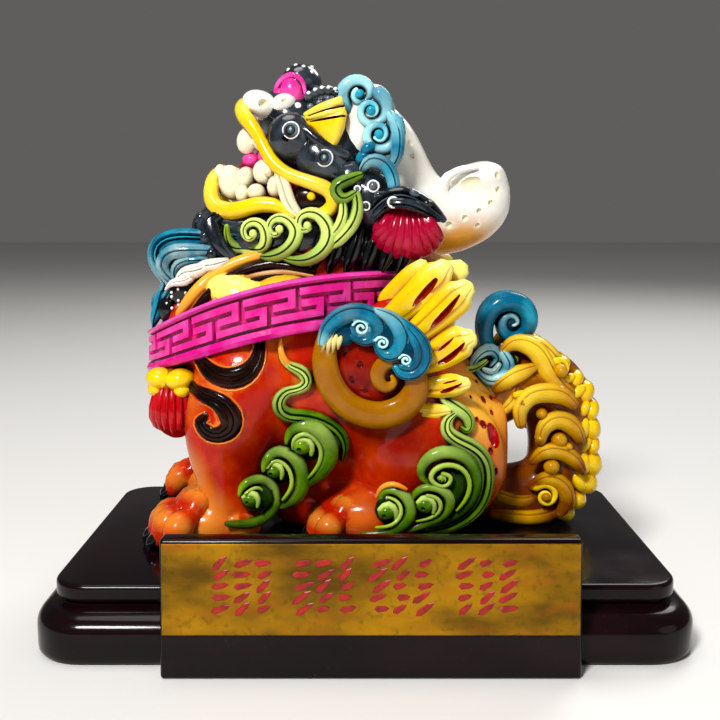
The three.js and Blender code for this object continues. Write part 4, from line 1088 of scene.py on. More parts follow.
def tassel():
    x, y = TASSEL_X, TASSEL_Y
    ball((x, y, 27.4), (3.5, 3.2, 2.4), "mustard")
    for turn, reach, size in ((200, 2.5, 2.5), (300, 2.3, 2.5), (60, 2.2, 2.2), (130, 2.3, 2.2)):
        angle = math.radians(turn)
        place = (x + reach * math.cos(angle), y + reach * math.sin(angle), 27.9)
        ball(place, (size, size, 1.9), "yellow", turn=8 if turn < 250 else -8, fine=(18, 11))
        drip = (place[0] + 0.8 * math.cos(angle), place[1] + 0.8 * math.sin(angle), 26.2)
        ball(drip, (size * 0.6, size * 0.6, 1.3), "yellow", fine=(12, 8))
    ball((x, y, 22.4), (3.8, 3.8, 4.9), "red")
    for i in range(TASSEL_THREADS):
        turn = 2 * math.pi * i / TASSEL_THREADS
        spoke = np.array([math.cos(turn), math.sin(turn), 0])
        low = 18.8 + 0.5 * math.sin(3.7 * i)
        rows = [(*(np.array([x, y, z]) + spoke * reach), radius) for z, reach, radius
                in ((26.2, 3, 0.5), (23.2, 3.9, 0.72), (20, 3.4, 0.66), (low, 1.5, 0.32))]
        strand(rows, "red", spoke)


# Flames, wings and tail

def elbow_flames(side):
    stem = [(-13, 34.2, 0.4), (-12.9, 32.3, 0.5), (-11.4, 30.8, 0.8), (-9.5, 29.8, 1.1), (-8.8, 28.3, 1.1),
            (-10.1, 27.1, 0.85), (-12.1, 26.6, 0.95), (-13.4, 25, 1.2), (-12.5, 23.1, 1.3),
            (-9.7, 22.5, 1.25), (-6.2, 21.6, 1.25), (-3.6, 19.6, 1.2), (-2.8, 17.1, 1.0), (-3.2, 14.6, 0.5)]
    # painted light: the stem is palest at its top and darker low down
    carved(stem, side, "green", lift=0.6, grooves=(0.4, -0.35), tones=(0.6, 0.6, 0.7, 0.2, 0, -0.4))
    tip = [(-13.1, 35.2, 0.25), (-13.1, 33.8, 0.45), (-12.6, 32.2, 0.55), (-11.8, 31.2, 0.5)]
    carved(tip, side, "orange", lift=0.85, tones=(0.8, 0.4))
    curl(side, [(-10.5, 9.9, 0.42), (-8, 11.6, 1), (-5.8, 14, 1.42), (-5.1, 16.9, 1.5), (-6.4, 19.8, 1.5),
                (-9.1, 21.1, 1.25), (-11.4, 20, 0.92), (-12.2, 17.9, 0.5)],
         [(-8.8, 12, 0.25), (-7, 14.4, 0.37), (-6.6, 16.7, 0.4), (-7.6, 18.8, 0.4), (-9.4, 19.8, 0.4),
          (-10.9, 18.8, 0.37), (-11.2, 17.1, 0.25)], (-9.7, 17.6, 1.65), 1.2, 15.6)
    curl(side, [(-13.8, 6.7, 0.42), (-11.5, 7.9, 1), (-9.8, 10.6, 1.33), (-10.1, 13.7, 1.33),
                (-11.9, 16.1, 1.25), (-14.2, 16.4, 1), (-15.7, 15.1, 0.75), (-16.1, 13.5, 0.42)],
         [(-13, 8.4, 0.25), (-11.6, 10.5, 0.37), (-11.6, 12.7, 0.37), (-12.7, 14.5, 0.37),
          (-14.2, 15.1, 0.33), (-15.4, 14, 0.25)], (-14.5, 13.3, 1.45), 1.5, 15.8)
    curl(side, [(-22, 5.1, 0.5), (-19.2, 4.6, 0.83), (-16.5, 5.1, 1), (-14.7, 7, 1.08), (-14.5, 9.4, 1.08),
                (-15.6, 11.5, 1), (-17.6, 12.2, 0.83), (-19.3, 11.3, 0.67), (-19.9, 9.8, 0.33)],
         [(-16.7, 6.3, 0.25), (-15.8, 8, 0.33), (-16.1, 9.9, 0.33), (-17.4, 11, 0.33), (-18.8, 10.3, 0.25)],
         (-18.2, 9.1, 1.35), 1.3, 15.8)


def hip_flames(side):
    hook = [(11.6, 27.1, 0.3), (13.3, 25.3, 0.7), (15.1, 24, 1.05), (16.8, 22.8, 1.2), (17.8, 21.3, 1.1),
            (17.3, 20, 0.7), (16.5, 20.5, 0.45)]
    stem = [(15.6, 22.6, 0.5), (14.3, 21.6, 0.95), (14.2, 20.1, 1.2), (15.5, 18.8, 1.35),
            (17.7, 17.6, 1.45), (19.7, 15.9, 1.5), (20.7, 13.4, 1.5), (20.7, 10.6, 1.5), (19.8, 7.7, 1.45),
            (17.9, 5.3, 1.35), (15.2, 3.6, 1.2), (11.5, 2.5, 0.9)]
    # painted light: the hook and the stem are palest at their tops and darker low down
    carved(hook, side, "green", lift=0.8, grooves=(-0.3,), tones=(1, 0.8, 0.3, -0.1))
    carved(stem, side, "green", lift=0.7, grooves=(0.4, -0.35), tones=(0.8, 0.5, 0.1, -0.2))
    curl(side, [(11.9, 3.7, 0.5), (15.2, 5.5, 0.83), (17.8, 8, 1), (18.9, 11.1, 1.08), (18.4, 14, 1.08),
                (16.4, 16.1, 1.17), (13.5, 16.7, 1.25), (11.1, 15.7, 1.08), (9.9, 13.7, 0.83),
                (10.6, 12, 0.58), (12.1, 11.1, 0.33)],
         [(15.8, 7, 0.25), (17.5, 9.6, 0.4), (17.7, 12.2, 0.4), (16.4, 14.2, 0.43), (14.1, 14.9, 0.47),
          (12.1, 14.2, 0.47), (11.4, 12.8, 0.42), (12.4, 11.6, 0.37), (14.1, 11.6, 0.37),
          (14.6, 12.8, 0.37), (13.3, 13.5, 0.37)], (13.1, 12.5, 0.7), 1.1, 15)
    # a near-black patch under the curls: painted shade
    ball((15.6, (depth_at(15.8, 10.6, side) + 0.3) * side, 10.4), (2, 1.2, 4), "moss", turn=16,
         fine=(20, 10))
    curl(side, [(7.4, 3.4, 0.42), (10.7, 4.6, 0.83), (13.7, 6.5, 1), (14.6, 8.7, 1), (13.3, 10.5, 0.92),
                (11, 11, 0.75), (9, 9.9, 0.67), (8.5, 8.4, 0.42)],
         [(9.2, 5.3, 0.25), (11.5, 6, 0.33), (13, 7.7, 0.4), (12.5, 9.3, 0.37), (10.8, 9.9, 0.33)],
         (10.5, 8.2, 1.5), 1.7, 15.6)
    curl(side, [(0.2, 3.2, 0.42), (3.7, 3.4, 0.83), (6.5, 4.6, 1.08), (8.2, 7, 1.17), (7.3, 9.3, 1.08),
                (5.5, 10.3, 0.83), (3.8, 9.8, 0.67), (3.2, 8.4, 0.42)],
         [(2.5, 4.8, 0.25), (5, 5.1, 0.33), (6.5, 6.8, 0.4), (6, 8.6, 0.37), (4.5, 9.3, 0.3)],
         (4.2, 7, 1.5), 1.9, 15.8)
    rim = [(2.6, 9, 0.3), (3.4, 10.7, 0.45), (5.4, 11.5, 0.5), (7.4, 10.8, 0.3)]
    carved(rim, side, "orange", lift=2.4, tones=(0.4, 0.8, 0.2))


WING_DEPTH = 17.4  # the ring's distance from the middle plane


def wing(side):
    s = side
    ring = [(-5.4, 36.2, 1.5), (-5.9, 32, 2.05), (-4.9, 27.8, 2.2), (-2.3, 24.5, 2.25), (1.4, 22.9, 2.3),
            (5.3, 23.2, 2.35), (8.2, 25.4, 2.25), (9, 28.4, 1.95), (7.3, 31.2, 1.6), (4.9, 31.9, 1.35),
            (3.1, 30.7, 1.3), (2.8, 28.7, 1.15), (4.1, 27.6, 0.95), (5.3, 28.4, 0.6), (5, 29.3, 0.35)]
    rise = (0, 0, 0, 0, 0, 0, 0, 0.2, 0.5, 0.6, 0.6, 0.6, 0.6, 0.6, 0.5)
    rows = [(x, WING_DEPTH + up, z, r) for (x, z, r), up in zip(ring, rise)]
    lock(rows, s, "mustard", per=4, flat=0.72, plane=0.72)
    disc = ball((1.8, 14.2 * s, 30.4), (7.8, 3.5, 7.6), "rust", fine=(28, 14))
    carriers.append(tree_of(disc))
    spots = [(-2.6, 33.2, 0.8), (-1.6, 28.6, 0.7), (-0.2, 31.2, 0.6), (0.6, 26.8, 0.5)]
    pits(s, "spot", spots, deep=0.16, fine=(12, 6))
    bands = [(0.9, [(-6.2, 35, 0.85), (-5.4, 37, 1.3), (-3.5, 38.9, 1.55), (-0.8, 39.7, 1.6),
                    (1.6, 39.1, 1.6), (2.9, 37.4, 1.4), (2.1, 35.7, 1.1), (0.2, 35.1, 0.8),
                    (-1.5, 36, 0.5)],
              (0.6, 0, 0.2, 0, -0.2, -0.25, -0.15)),
             (1.4, [(2.4, 40, 0.67), (4.8, 38.8, 1.25), (6.4, 36.5, 1.5), (6.2, 34.3, 1.4), (4.8, 33, 1.2),
                    (3.2, 33.4, 0.85), (2.4, 34.8, 0.5)], (0.5, 0.2, 0, -0.15, -0.2)),
             (1.6, [(6.5, 38.6, 0.5), (8.9, 36.5, 0.85), (10.4, 33.9, 1), (10.1, 31.5, 1.05),
                    (8.5, 29.9, 1), (6.6, 29.9, 0.85), (5.5, 31, 0.6)], (0.1, -0.1, 0, 0.1, -0.1)),
             (1.9, [(6.9, 37.6, 0.42), (8.6, 35.2, 0.85), (9.1, 32.8, 0.95), (8, 31, 0.8),
                    (6.4, 31.2, 0.6)],
              (0.2, -0.1, -0.2, -0.2))]
    # painted light: each band is pale where it starts outside and darker towards its inner end
    for rise, rows, tones in bands:
        level(rows, WING_DEPTH + rise, s, "blue", tones=tones, grooves=(-0.62,), depth=0.2)
    # discs under the blue bands, mostly dark navy: painted shade within them
    for x, z, wide, rise, paint in ((0.4, 37.4, 2.3, 0.9, "blue"), (-2.8, 36.4, 2.1, 0.5, "navy"),
                                    (4, 36, 2.3, 1.3, "navy"), (7.8, 33.4, 2.2, 1.7, "navy")):
        ball((x, (WING_DEPTH + rise) * s, z), (wide, 0.9, wide), paint, fine=(20, 8))
    for eye, reach, rise in (((0, 37.3), 1.3, 1.75), ((3.4, 34.9), 1.1, 1.95), ((7.1, 32.2), 1.0, 2.3)):
        rows = whorl(eye, (eye[0] - reach, eye[1] + 0.4 * reach), 1.4, 0, 0.3 * reach, 0.2)
        lock([(x, WING_DEPTH + rise + up, z, 0.24) for x, z, up, _ in rows], s, "blue", per=2, tones=(1, 1))
    for x, low in ((-6.1, 33.4), (-5.3, 32.8), (-4.5, 33.2), (-3.7, 33.8)):
        rows = [(x + 0.7, WING_DEPTH + 0.9, 36.4, 0.3), (x + 0.2, WING_DEPTH + 1.1, 35, 0.45),
                (x, WING_DEPTH + 0.9, low, 0.15)]
        lock(rows, s, "mustard", tones=(1, 0.9, 0))
    feathers(s)


def feathers(side):
    s = side
    blades = [
        (12.4, [(4.2, 41.2, 1.6), (7.2, 44, 1.9), (9.2, 46, 1.7), (10, 47, 1.2)], ()),
        (12.2, [(7.4, 41, 1.8), (11.8, 43.6, 2.5), (15, 45.6, 2.5), (16, 46.2, 1.9)], ()),
        (14.4, [(3, 37.2, 1.4), (7.2, 40.4, 2.3), (10.6, 43.8, 2.6), (12.8, 46, 2.4), (13.3, 46.6, 1.8)],
         (0.55,)),
        (15, [(7, 34.4, 1.6), (11.2, 38, 2.5), (14.6, 41.2, 2.9), (16.2, 42.8, 2.5), (16.7, 43.3, 1.9)],
         (0.5, -0.5)),
        (15.4, [(8.2, 30.6, 1.8), (12.4, 32.4, 2.6), (15.6, 34.4, 2.9), (17, 35.2, 2.4), (17.4, 35.4, 1.8)],
         (0.5, -0.5)),
        (15.2, [(8.4, 27, 1.4), (12.8, 27.2, 1.9), (15.8, 27.6, 1.8), (17, 27.8, 1.2)], (0.3,)),
        (14.8, [(8, 23.2, 1.2), (12, 23, 1.4), (14.2, 23.2, 0.9)], (0.2,)),
    ]
    for depth, rows, grooves in blades:
        rows = [(x, depth + 0.35 * j, z, r) for j, (x, z, r) in enumerate(rows)]
        lock(rows, s, "yellow", per=4, flat=0.6, plane=0.85, grooves=grooves, depth=0.16,
             tones=(0, 0, 0.3, 1))
    leaves = [(17, [(5.4, 38, 0.2), (8, 40.2, 0.5), (10.6, 43, 0.8), (12, 44.8, 0.5)]),
              (16.6, [(4.6, 39.4, 0.12), (7, 41.8, 0.3), (9, 44.4, 0.12)]),
              (17.4, [(9.8, 35.6, 0.2), (12, 37.8, 0.6), (14, 40, 0.6), (15.8, 42.4, 0.2)]),
              (17.4, [(9, 37, 0.15), (11.2, 39.4, 0.35), (13.4, 42, 0.15)]),
              (17.4, [(11.4, 35.4, 0.12), (14, 38, 0.25), (16.4, 40.6, 0.12)]),
              (17.8, [(10, 30.2, 0.2), (12.8, 31.3, 0.6), (14.8, 32.6, 0.65), (16.8, 34.8, 0.2)]),
              (17.6, [(10.4, 32.4, 0.15), (12.8, 33.7, 0.35), (15, 35.6, 0.15)]),
              (17, [(12, 26.4, 0.15), (14.2, 26.8, 0.45), (16.4, 27.9, 0.15)]),
              (17, [(12, 27.6, 0.12), (14.2, 28.1, 0.25), (16, 28.6, 0.12)])]
    for depth, rows in leaves:
        level(rows, depth, s, "rust", flat=1.8, into=cuts)
    ball((6, 12.4 * s, 36), (6, 3, 6), "orange", turn=-40)
    ball((9, 13 * s, 27), (4.6, 2.4, 5.4), "orange")


# painted shade on the tail, darker towards the bottom
TAIL_SHADED = (4, 24)  # heights between which the tail's yellow goes from brown to clear


def tail_core():
    core = limb([(21, 0, 22, 6.4), (28.4, 0, 25.4, 6.3), (33.4, 0, 24.8, 6.4), (36, 0, 19.4, 6.4),
                 (36.3, 0, 12.4, 6.1), (34, 0, 6.8, 5.6), (29.6, 0, 5, 5.6), (21, 0, 4.8, 5)])
    crest = limb([(25, 0, 30.2, 1.8), (30.4, 0, 30.4, 2.4), (36, 0, 26.2, 1.8)], 1.6)
    tail = fused([*core, *crest], 6, "tail", "mustard")
    # painted shade: the core, seen between the locks, is darkened, and more so towards the bottom
    store(tail.data, "tone", np.interp(places_of(tail.data)[:, 2], TAIL_SHADED, (0.6, 0.78)))
    return tail


TAIL_BACK = {NEAR: 0, FAR: 3}  # keeps a far lock clear of the opening under the tail
LOCK_SWELL = 1.12  # the amber locks' radii are made larger by this


def tail_locks(side):
    s = side
    back = TAIL_BACK[side]
    arcs = [
        (5.4, [(24.8, 31.8, 0.7), (26.3, 33, 1.2), (28.9, 32.8, 1.5), (31, 31.1, 1.6), (32.5, 28.4, 1.6),
               (34.5, 25.8, 1.4), (36.6, 24.4, 0.9)]),
        (3.2, [(27.4, 33.2, 0.8), (29.9, 32.9, 1.3), (32.7, 31, 1.6), (34.6, 28.6, 1.5),
               (36.1, 26.6, 1.0)]),
        (6, [(23.7, 25.5, 1.0), (26.1, 27.2, 1.4), (28.5, 28.3, 1.2), (30.2, 29, 0.7)]),
        (6.9, [(27.9, 19.1, 0.9), (27.8, 21.8, 1.3), (29.3, 23.9, 1.5), (32.1, 24.6, 1.6),
               (34.9, 24.1, 1.5), (36.8, 22.6, 1.0)]),
        (6.9, [(31.4, 16.1, 0.9), (32.1, 18.6, 1.3), (34.3, 19.8, 1.5), (36.8, 18.7, 1.5),
               (38.3, 16.2, 0.9)]),
        (6.7, [(30.1 + back, 12.3, 0.7), (31.9 + back / 2, 13.9, 1.2), (34.8, 14.1, 1.4), (37.3, 12.7, 1.3),
               (38.8, 10.7, 0.8)]),
        (6, [(30.4, 7.8, 0.9), (32.9, 9, 1.3), (35.4, 8, 1.4), (36.5, 5.4, 1.3), (35.5, 2.9, 0.9)]),
        (4.6, [(22.6, 6.8, 0.9), (25.3, 5.5, 1.0), (28, 4.8, 1.1), (30.6, 5.2, 1.0), (32, 6.2, 0.7)]),
        (4.6, [(23.5, 2.3, 0.9), (27, 1.8, 1.2), (30.6, 1.6, 1.3), (34, 2.4, 1.2), (36.6, 4, 0.8)]),
        (5.6, [(25, 21.2, 0.9), (26.7, 23, 1.1), (27.2, 24.6, 0.9)]),
    ]
    for depth, rows in arcs:
        # painted light: each lock is pale in its middle and dark at its ends, and the lower locks carry
        # more painted shade
        shaded = np.interp(np.mean(rows, axis=0)[1], TAIL_SHADED, (0.7, 0))
        level([(x, z, r * LOCK_SWELL) for x, z, r in rows], depth, s, "amber", out=(0.1, 1, 0),
              grooves=(-0.5,), depth=0.16, tones=np.array([-0.1, 0.8, 0.4, -0.2]) - shaded)
    for x, z, radius in ((31.5, 20.9, 1.0), (34.7, 16.2, 1.5), (36.3, 15.1, 0.8), (33.5, 11.4, 1.45),
                         (28.3, 22.8, 1.3), (34.6, 28.4, 1.2), (31.2, 16.6, 0.8)):
        ball((x, 6.6 * s, z), (radius, 1.6, radius), "amber", fine=(16, 10))
    for eye, start, depth, girth in (((32.6, 6), (30.9, 7.6), 6.4, 0.34),
                                     ((34.8, 28.6), (33.4, 27.2), 4.8, 0.36),
                                     ((28.1, 22.9), (26.9, 24.2), 6.9, 0.36)):
        rows = whorl(eye, start, 1.5, girth, inner=0.6, rise=0.7)
        lock([(x, depth + up, z, r) for x, z, up, r in rows], s, "yellow", per=2)
        ball((eye[0], (depth + 0.8) * s, eye[1]), 0.8, "mustard", fine=(12, 8))
    bumps = [(32, 31, 1.5, 80), (35.2, 29, 1.6, 65), (37.6, 26.2, 1.7, 50), (39.4, 23.8, 2.0, 35),
             (40.7, 20.8, 1.8, 10), (40.8, 17.5, 2.1, -20), (41.2, 14.3, 1.6, 15), (41, 11.2, 2.3, -30),
             (40.2, 7.7, 2.2, -50), (38.4, 4.6, 2.0, -60), (36.8, 1.9, 1.6, -80)]
    for x, z, size, turn in bumps:
        ball((x, 2 * s, z), (size, 3.4, size * 1.25), "yellow", turn=turn, fine=(18, 12))
        ball((x - 1.5, 4.6 * s, z + 0.5), (size * 0.55, 1.3, size * 0.95), "yellow", turn=turn + 20,
             fine=(14, 9))


def tail_curl():
    rows = [(23.4, 28, 1.2), (23, 30, 1.3), (22.2, 33.3, 1.4), (22.2, 36.7, 1.6), (23.6, 39.1, 1.75),
            (26.2, 40, 1.8), (28.6, 39.2, 1.75), (29.8, 37.1, 1.6), (29.3, 34.8, 1.45), (27.3, 33.6, 1.2),
            (25.5, 34.4, 1.0), (25, 36.2, 0.8), (26, 37.5, 0.65), (27.4, 37.2, 0.5), (27.8, 36.2, 0.4),
            (27, 35.7, 0.3)]
    for side in SIDES:
        level(rows, 1.5, side, "blue", flat=1.1, tones=(0, 0, 0, 0, 0.3, 0.9))
    # a dark navy disc in the curl's eye: painted shade
    ball((26.7, 0, 36.6), (3, 1.6, 3), "navy", fine=(20, 8))
    for side in SIDES:
        locks = [
            ("green", 5.4, [(17.6, 28.5, 0.35), (19.6, 28.6, 0.75), (21.7, 29.9, 0.6)]),
            ("blue", 5.6, [(20.3, 28.1, 0.55), (22.1, 26.7, 1.1), (24.5, 27.2, 1.3), (25.7, 29.3, 1.2),
                           (24.8, 31.3, 0.9)]),
            ("teal", 6, [(21.4, 28.6, 0.4), (23, 28.2, 0.6), (24, 29.4, 0.5)]),
            ("blue", 5, [(19.2, 28.9, 0.5), (20.6, 31, 0.9), (22.7, 31.9, 1.1), (24, 30.4, 0.9),
                         (23, 29, 0.7)]),
            ("green", 4.8, [(25.1, 30.8, 0.35), (27.1, 30.4, 0.75), (26, 28.4, 0.5)]),
        ]
        for paint, depth, rows in locks:
            level(rows, depth, side, paint, per=3, grooves=(0.1,), depth=0.25, tones=(0, 0.9, 0.1, 0.7))
    ball((23.2, 0, 28.4), (3.4, 5, 3.4), "blue")


# The figure in one piece

def figure():
    body = body_core()
    carriers.append(tree_of(body.data))
    for core in (*head_cores(), horn_core(), tail_core()):
        carriers.append(tree_of(core.data))
        bpy.context.scene.collection.objects.unlink(core)
        forms.collection.objects.link(core)
    crest_ball()
    for side in SIDES:
        for form in (feet, nose, mouth, cheeks, eyelid, head_curls, nape, ear, jaw_hair, horn_dimples,
                     jaw_curls, neck_lines, chest_stripes, rump_spots, elbow_flames, hip_flames, wing,
                     tail_locks):
            form(side)
    for form in (beard, collar, tassel, tail_curl):
        form()
    for shells, operation in ((forms, "UNION"), (cuts, "DIFFERENCE")):
        modified(body, "BOOLEAN", solver="MANIFOLD", operation=operation, operand_type="COLLECTION",
                 collection=shells.collection)
    whole = baked(body)
    bpy.data.objects.remove(body)
    forms.clear()
    cuts.clear()
    return finished(whole)


WELD = 0.02  # points of the figure nearer than this become one
SLIVER = 0.01  # edges shorter than this go
FIGURE_SHARP = 48  # degrees from which an edge of the figure shows


def finished(mesh):
    """Cuts the figure flat at the plinth, welds it, tones its seams and sets it in metres."""
    shape = bmesh.new()
    shape.from_mesh(mesh)
    bmesh.ops.bisect_plane(shape, geom=[*shape.verts, *shape.edges, *shape.faces], dist=1e-4,
                           plane_co=(0, 0, 0), plane_no=(0, 0, 1), clear_inner=True)
    bmesh.ops.holes_fill(shape, edges=[edge for edge in shape.edges if edge.is_boundary])
    bmesh.ops.remove_doubles(shape, verts=shape.verts, dist=WELD)
    bmesh.ops.dissolve_degenerate(shape, edges=shape.edges, dist=SLIVER)
    bmesh.ops.triangulate(shape, faces=shape.faces)
    shape.to_mesh(mesh)
    shape.free()
    whole = linked("pixiu_carving", mesh)
    modified(whole, "DECIMATE", ratio=min(1, FACE_LIMIT / len(mesh.polygons)))
    mesh = bake(whole)
    smooth_by_angle(whole, FIGURE_SHARP)
    mesh.validate()
    shade_hollows(mesh)
    mesh.vertices.foreach_set("co", (places_of(mesh) * MODULE + GRID_ORIGIN).ravel())
    mesh.update()
    return whole


def even_sphere(count):
    """Directions spread evenly over a sphere."""
    steps = np.arange(count) + 0.5
    heights = 1 - 2 * steps / count
    turns = math.pi * (1 + math.sqrt(5)) * steps
    across = np.sqrt(1 - heights ** 2)
    return np.column_stack([across * np.cos(turns), across * np.sin(turns), heights])


RAYS = 22  # from each point, for how hidden it is
RAY_OFF = 0.06  # they start this far from the surface
GRAZING = 0.15  # rays flatter than this to the surface don't count
CREVICE_REACH = 2.2  # how far outwards they look
RIDGE_REACH = 1.3  # and how far inwards


def shade_hollows(mesh):
    """Stores how hidden each point is, for the paint's painted shade in hollows, and how thin the form is
    under it, for its painted highlight on ridges.
    """
    tree = tree_of(mesh)
    directions = [Vector(d) for d in even_sphere(RAYS)]
    count = len(mesh.vertices)
    crevice, ridge = np.zeros(count), np.zeros(count)
    for i, vertex in enumerate(mesh.vertices):
        normal = vertex.normal
        outside = vertex.co + normal * RAY_OFF
        inside = vertex.co - normal * RAY_OFF
        hidden = thinness = 0.0
        weights = 1e-6
        for direction in directions:
            facing = direction.dot(normal)
            if facing > GRAZING:
                weights += facing
                if tree.ray_cast(outside, direction, CREVICE_REACH)[0] is not None:
                    hidden += facing
            elif facing < -GRAZING and tree.ray_cast(inside, direction, RIDGE_REACH)[0] is not None:
                thinness -= facing
        crevice[i] = hidden / weights
        ridge[i] = thinness / weights
    edges = np.empty(len(mesh.edges) * 2, int)
    mesh.edges.foreach_get("vertices", edges)
    edges = edges.reshape(-1, 2)
    store(mesh, "tone", mended(mesh, "tone", edges))
    # a groove's bottom gets the full painted shade
    crevice = np.maximum(crevice, np.clip(mended(mesh, "groove", edges) - 1, 0, 1))
    for name, values in (("crevice", crevice), ("ridge", ridge)):
        store(mesh, name, 0.5 * values + 0.5 * around(values, edges))


def around(values, edges):
    """The mean over the points at the other ends of each point's edges."""
    first, second = edges.T
    count = len(values)
    degree = np.bincount(first, minlength=count) + np.bincount(second, minlength=count)
    return (np.bincount(first, values[second], count) + np.bincount(second, values[first], count)) / degree


def mended(mesh, name, edges):
    """An attribute's values, with what a boolean left at 0 filled in from the neighbouring points."""
    values = np.empty(len(mesh.vertices))
    mesh.attributes[name].data.foreach_get("value", values)
    known = (values > 0.5).astype(float)
    for _ in range(4):
        share = around(known, edges)
        guess = np.divide(around(values * known, edges), share, out=np.ones(len(values)), where=share > 0)
        missing = (known < 0.5) & (share > 0)
        values[missing] = guess[missing]
        known[missing] = 1
    return values


# Plinth and plate, in millimetres of the part's own frame

MM = 0.001
PLINTH_WIDTH, PLINTH_DEPTH, PLINTH_HEIGHT = 101.0, 64.0, 11.0
SLAB_INSET_SIDE, SLAB_INSET_FRONT, SLAB_THICKNESS = 2.6, 4.2, 3.4
SLAB_ROUND = 0.7  # of its upper edge
COVE_DEPTH, MOULDING_ROUND, CORNER_RADIUS = 0.9, 3.0, 8.0
BOARD_WIDTH, BOARD_HEIGHT, BOARD_THICKNESS, BOARD_PROUD, BOARD_OFFSET = 60.8, 20.2, 3.2, 4.0, 0.8
BOARD_LEAN = math.radians(6.1)
BOARD_BEVEL = 0.55
BOARD_SUNK = 1.2  # how far it reaches down into the slab
SLAB_MIDDLE = BOARD_PROUD / 2
CORNER_STEPS = 10
PLINTH_SHARP = 35  # degrees from which an edge of the plinth shows


def lacquer():
    material, tree, shader = material_of("lacquer", Specular_IOR_Level=0.12, Coat_Weight=0.1,
                                         Coat_Roughness=0.06)
    clouds = noise(tree, 40.0, 4.0, (1, 1, 3))
    colour = blended(tree, ranged(tree, clouds, 0.35, 0.75), rgb(0x060304), rgb(0x1A080C))
    dust = ranged(tree, noise(tree, 2200.0, 2.0), 0.7, 0.76, 0.0, 0.35)
    colour = blended(tree, dust, colour, rgb(0x3A2A2C))
    tree.links.new(colour, shader.inputs["Base Color"])
    tree.links.new(ranged(tree, noise(tree, 90.0), 0.3, 0.7, 0.12, 0.26), shader.inputs["Roughness"])
    bumped(tree, noise(tree, 160.0, 2.0), shader, 0.15, 0.0002)
    return material


def rounded_plan(width, depth, radius):
    points = []
    for corner, (right, back) in enumerate(((1, -1), (1, 1), (-1, 1), (-1, -1))):
        for i in range(CORNER_STEPS + 1):
            angle = (corner - 1 + i / CORNER_STEPS) * math.pi / 2
            points.append((right * (width / 2 - radius) + radius * math.cos(angle),
                           back * (depth / 2 - radius) + radius * math.sin(angle)))
    return points


def ring_piece(name, rings):
    """A closed mesh over rings of points, with flat ends."""
    shape = bmesh.new()
    loops = [[shape.verts.new([c * MM for c in point]) for point in ring] for ring in rings]
    wrap(shape, loops)
    return object_of(shape, name)


def wrap(shape, loops):
    """Faces over rows of as many points each, with a face at each end."""
    for low, high in zip(loops, loops[1:]):
        for j in range(len(low)):
            k = (j + 1) % len(low)
            shape.faces.new((low[j], low[k], high[k], high[j]))
    shape.faces.new(loops[0][::-1])
    shape.faces.new(loops[-1])


def quarter(steps):
    """What is left of a round edge's inset and of its height, from its foot to its top."""
    angles = [i / (steps - 1) * math.pi / 2 for i in range(steps)]
    return [(1 - math.cos(angle), 1 - math.sin(angle)) for angle in angles]


def plinth_profile():
    """Inset, as a share of the slab's, and height, from the ground up."""
    top = PLINTH_HEIGHT - SLAB_THICKNESS
    foot = [(0.36, 0), (0.12, 0.25), (0.02, 0.8), (0, 1.4)]
    moulding = [(inset, top - MOULDING_ROUND * drop) for inset, drop in quarter(9)]
    cove = [(1.14, top + 0.06), (1.22, top + COVE_DEPTH * 0.4), (1.14, top + COVE_DEPTH * 0.8),
            (1.02, top + COVE_DEPTH), (1, top + COVE_DEPTH + 0.3)]
    edge = [(1 + 0.2 * inset, PLINTH_HEIGHT - SLAB_ROUND * drop) for inset, drop in quarter(6)]
    return [*foot, *moulding, *cove, *edge]


def plinth():
    rings = []
    for share, height in plinth_profile():
        side, front = share * SLAB_INSET_SIDE, share * SLAB_INSET_FRONT
        plan = rounded_plan(PLINTH_WIDTH - 2 * side, PLINTH_DEPTH - 2 * front, CORNER_RADIUS - side)
        rings.append([(x, y + SLAB_MIDDLE, height) for x, y in plan])
    base = ring_piece("plinth_lacquered", rings)
    board = board_piece()
    modified(base, "BOOLEAN", solver="MANIFOLD", operation="UNION", object=board)
    bake(base)
    bpy.data.objects.remove(board)
    base.data.materials.clear()
    base.data.materials.append(lacquer())
    smooth_by_angle(base, PLINTH_SHARP)
    return base


def board_piece():
    """The leaning board that carries the plate: its outline in Y and Z, run along X, with rounded edges."""
    front = SLAB_MIDDLE - PLINTH_DEPTH / 2 - BOARD_PROUD
    top = front + math.tan(BOARD_LEAN) * BOARD_HEIGHT
    foot = PLINTH_HEIGHT - BOARD_SUNK
    outline = [(front, 0), (top, BOARD_HEIGHT), (top + BOARD_THICKNESS, BOARD_HEIGHT),
               (top + BOARD_THICKNESS, foot), (SLAB_MIDDLE, foot), (SLAB_MIDDLE, 0)]
    ends = (BOARD_OFFSET - BOARD_WIDTH / 2, BOARD_OFFSET + BOARD_WIDTH / 2)
    board = ring_piece("board", [[(x, y, z) for y, z in outline] for x in ends])
    modified(board, "BEVEL", width=BOARD_BEVEL * MM, segments=4, limit_method="ANGLE")
    bake(board)
    return board


PLATE_LOW, PLATE_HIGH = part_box("name_plate")
PLATE_HEIGHT = 13.2
PLATE_THICKNESS = 0.5
PLATE_BEVEL = 0.12
PLATE_FACE = PLATE_THICKNESS / 2  # from its middle


def on_plate(across, up, out):
    """A place on the leaning plate: millimetres from its middle, along it, up it and out of its face."""
    middle = (PLATE_LOW + PLATE_HIGH) / 2
    c, s = math.cos(BOARD_LEAN), math.sin(BOARD_LEAN)
    return middle + Vector((across, up * s - out * c, up * c + out * s)) * MM


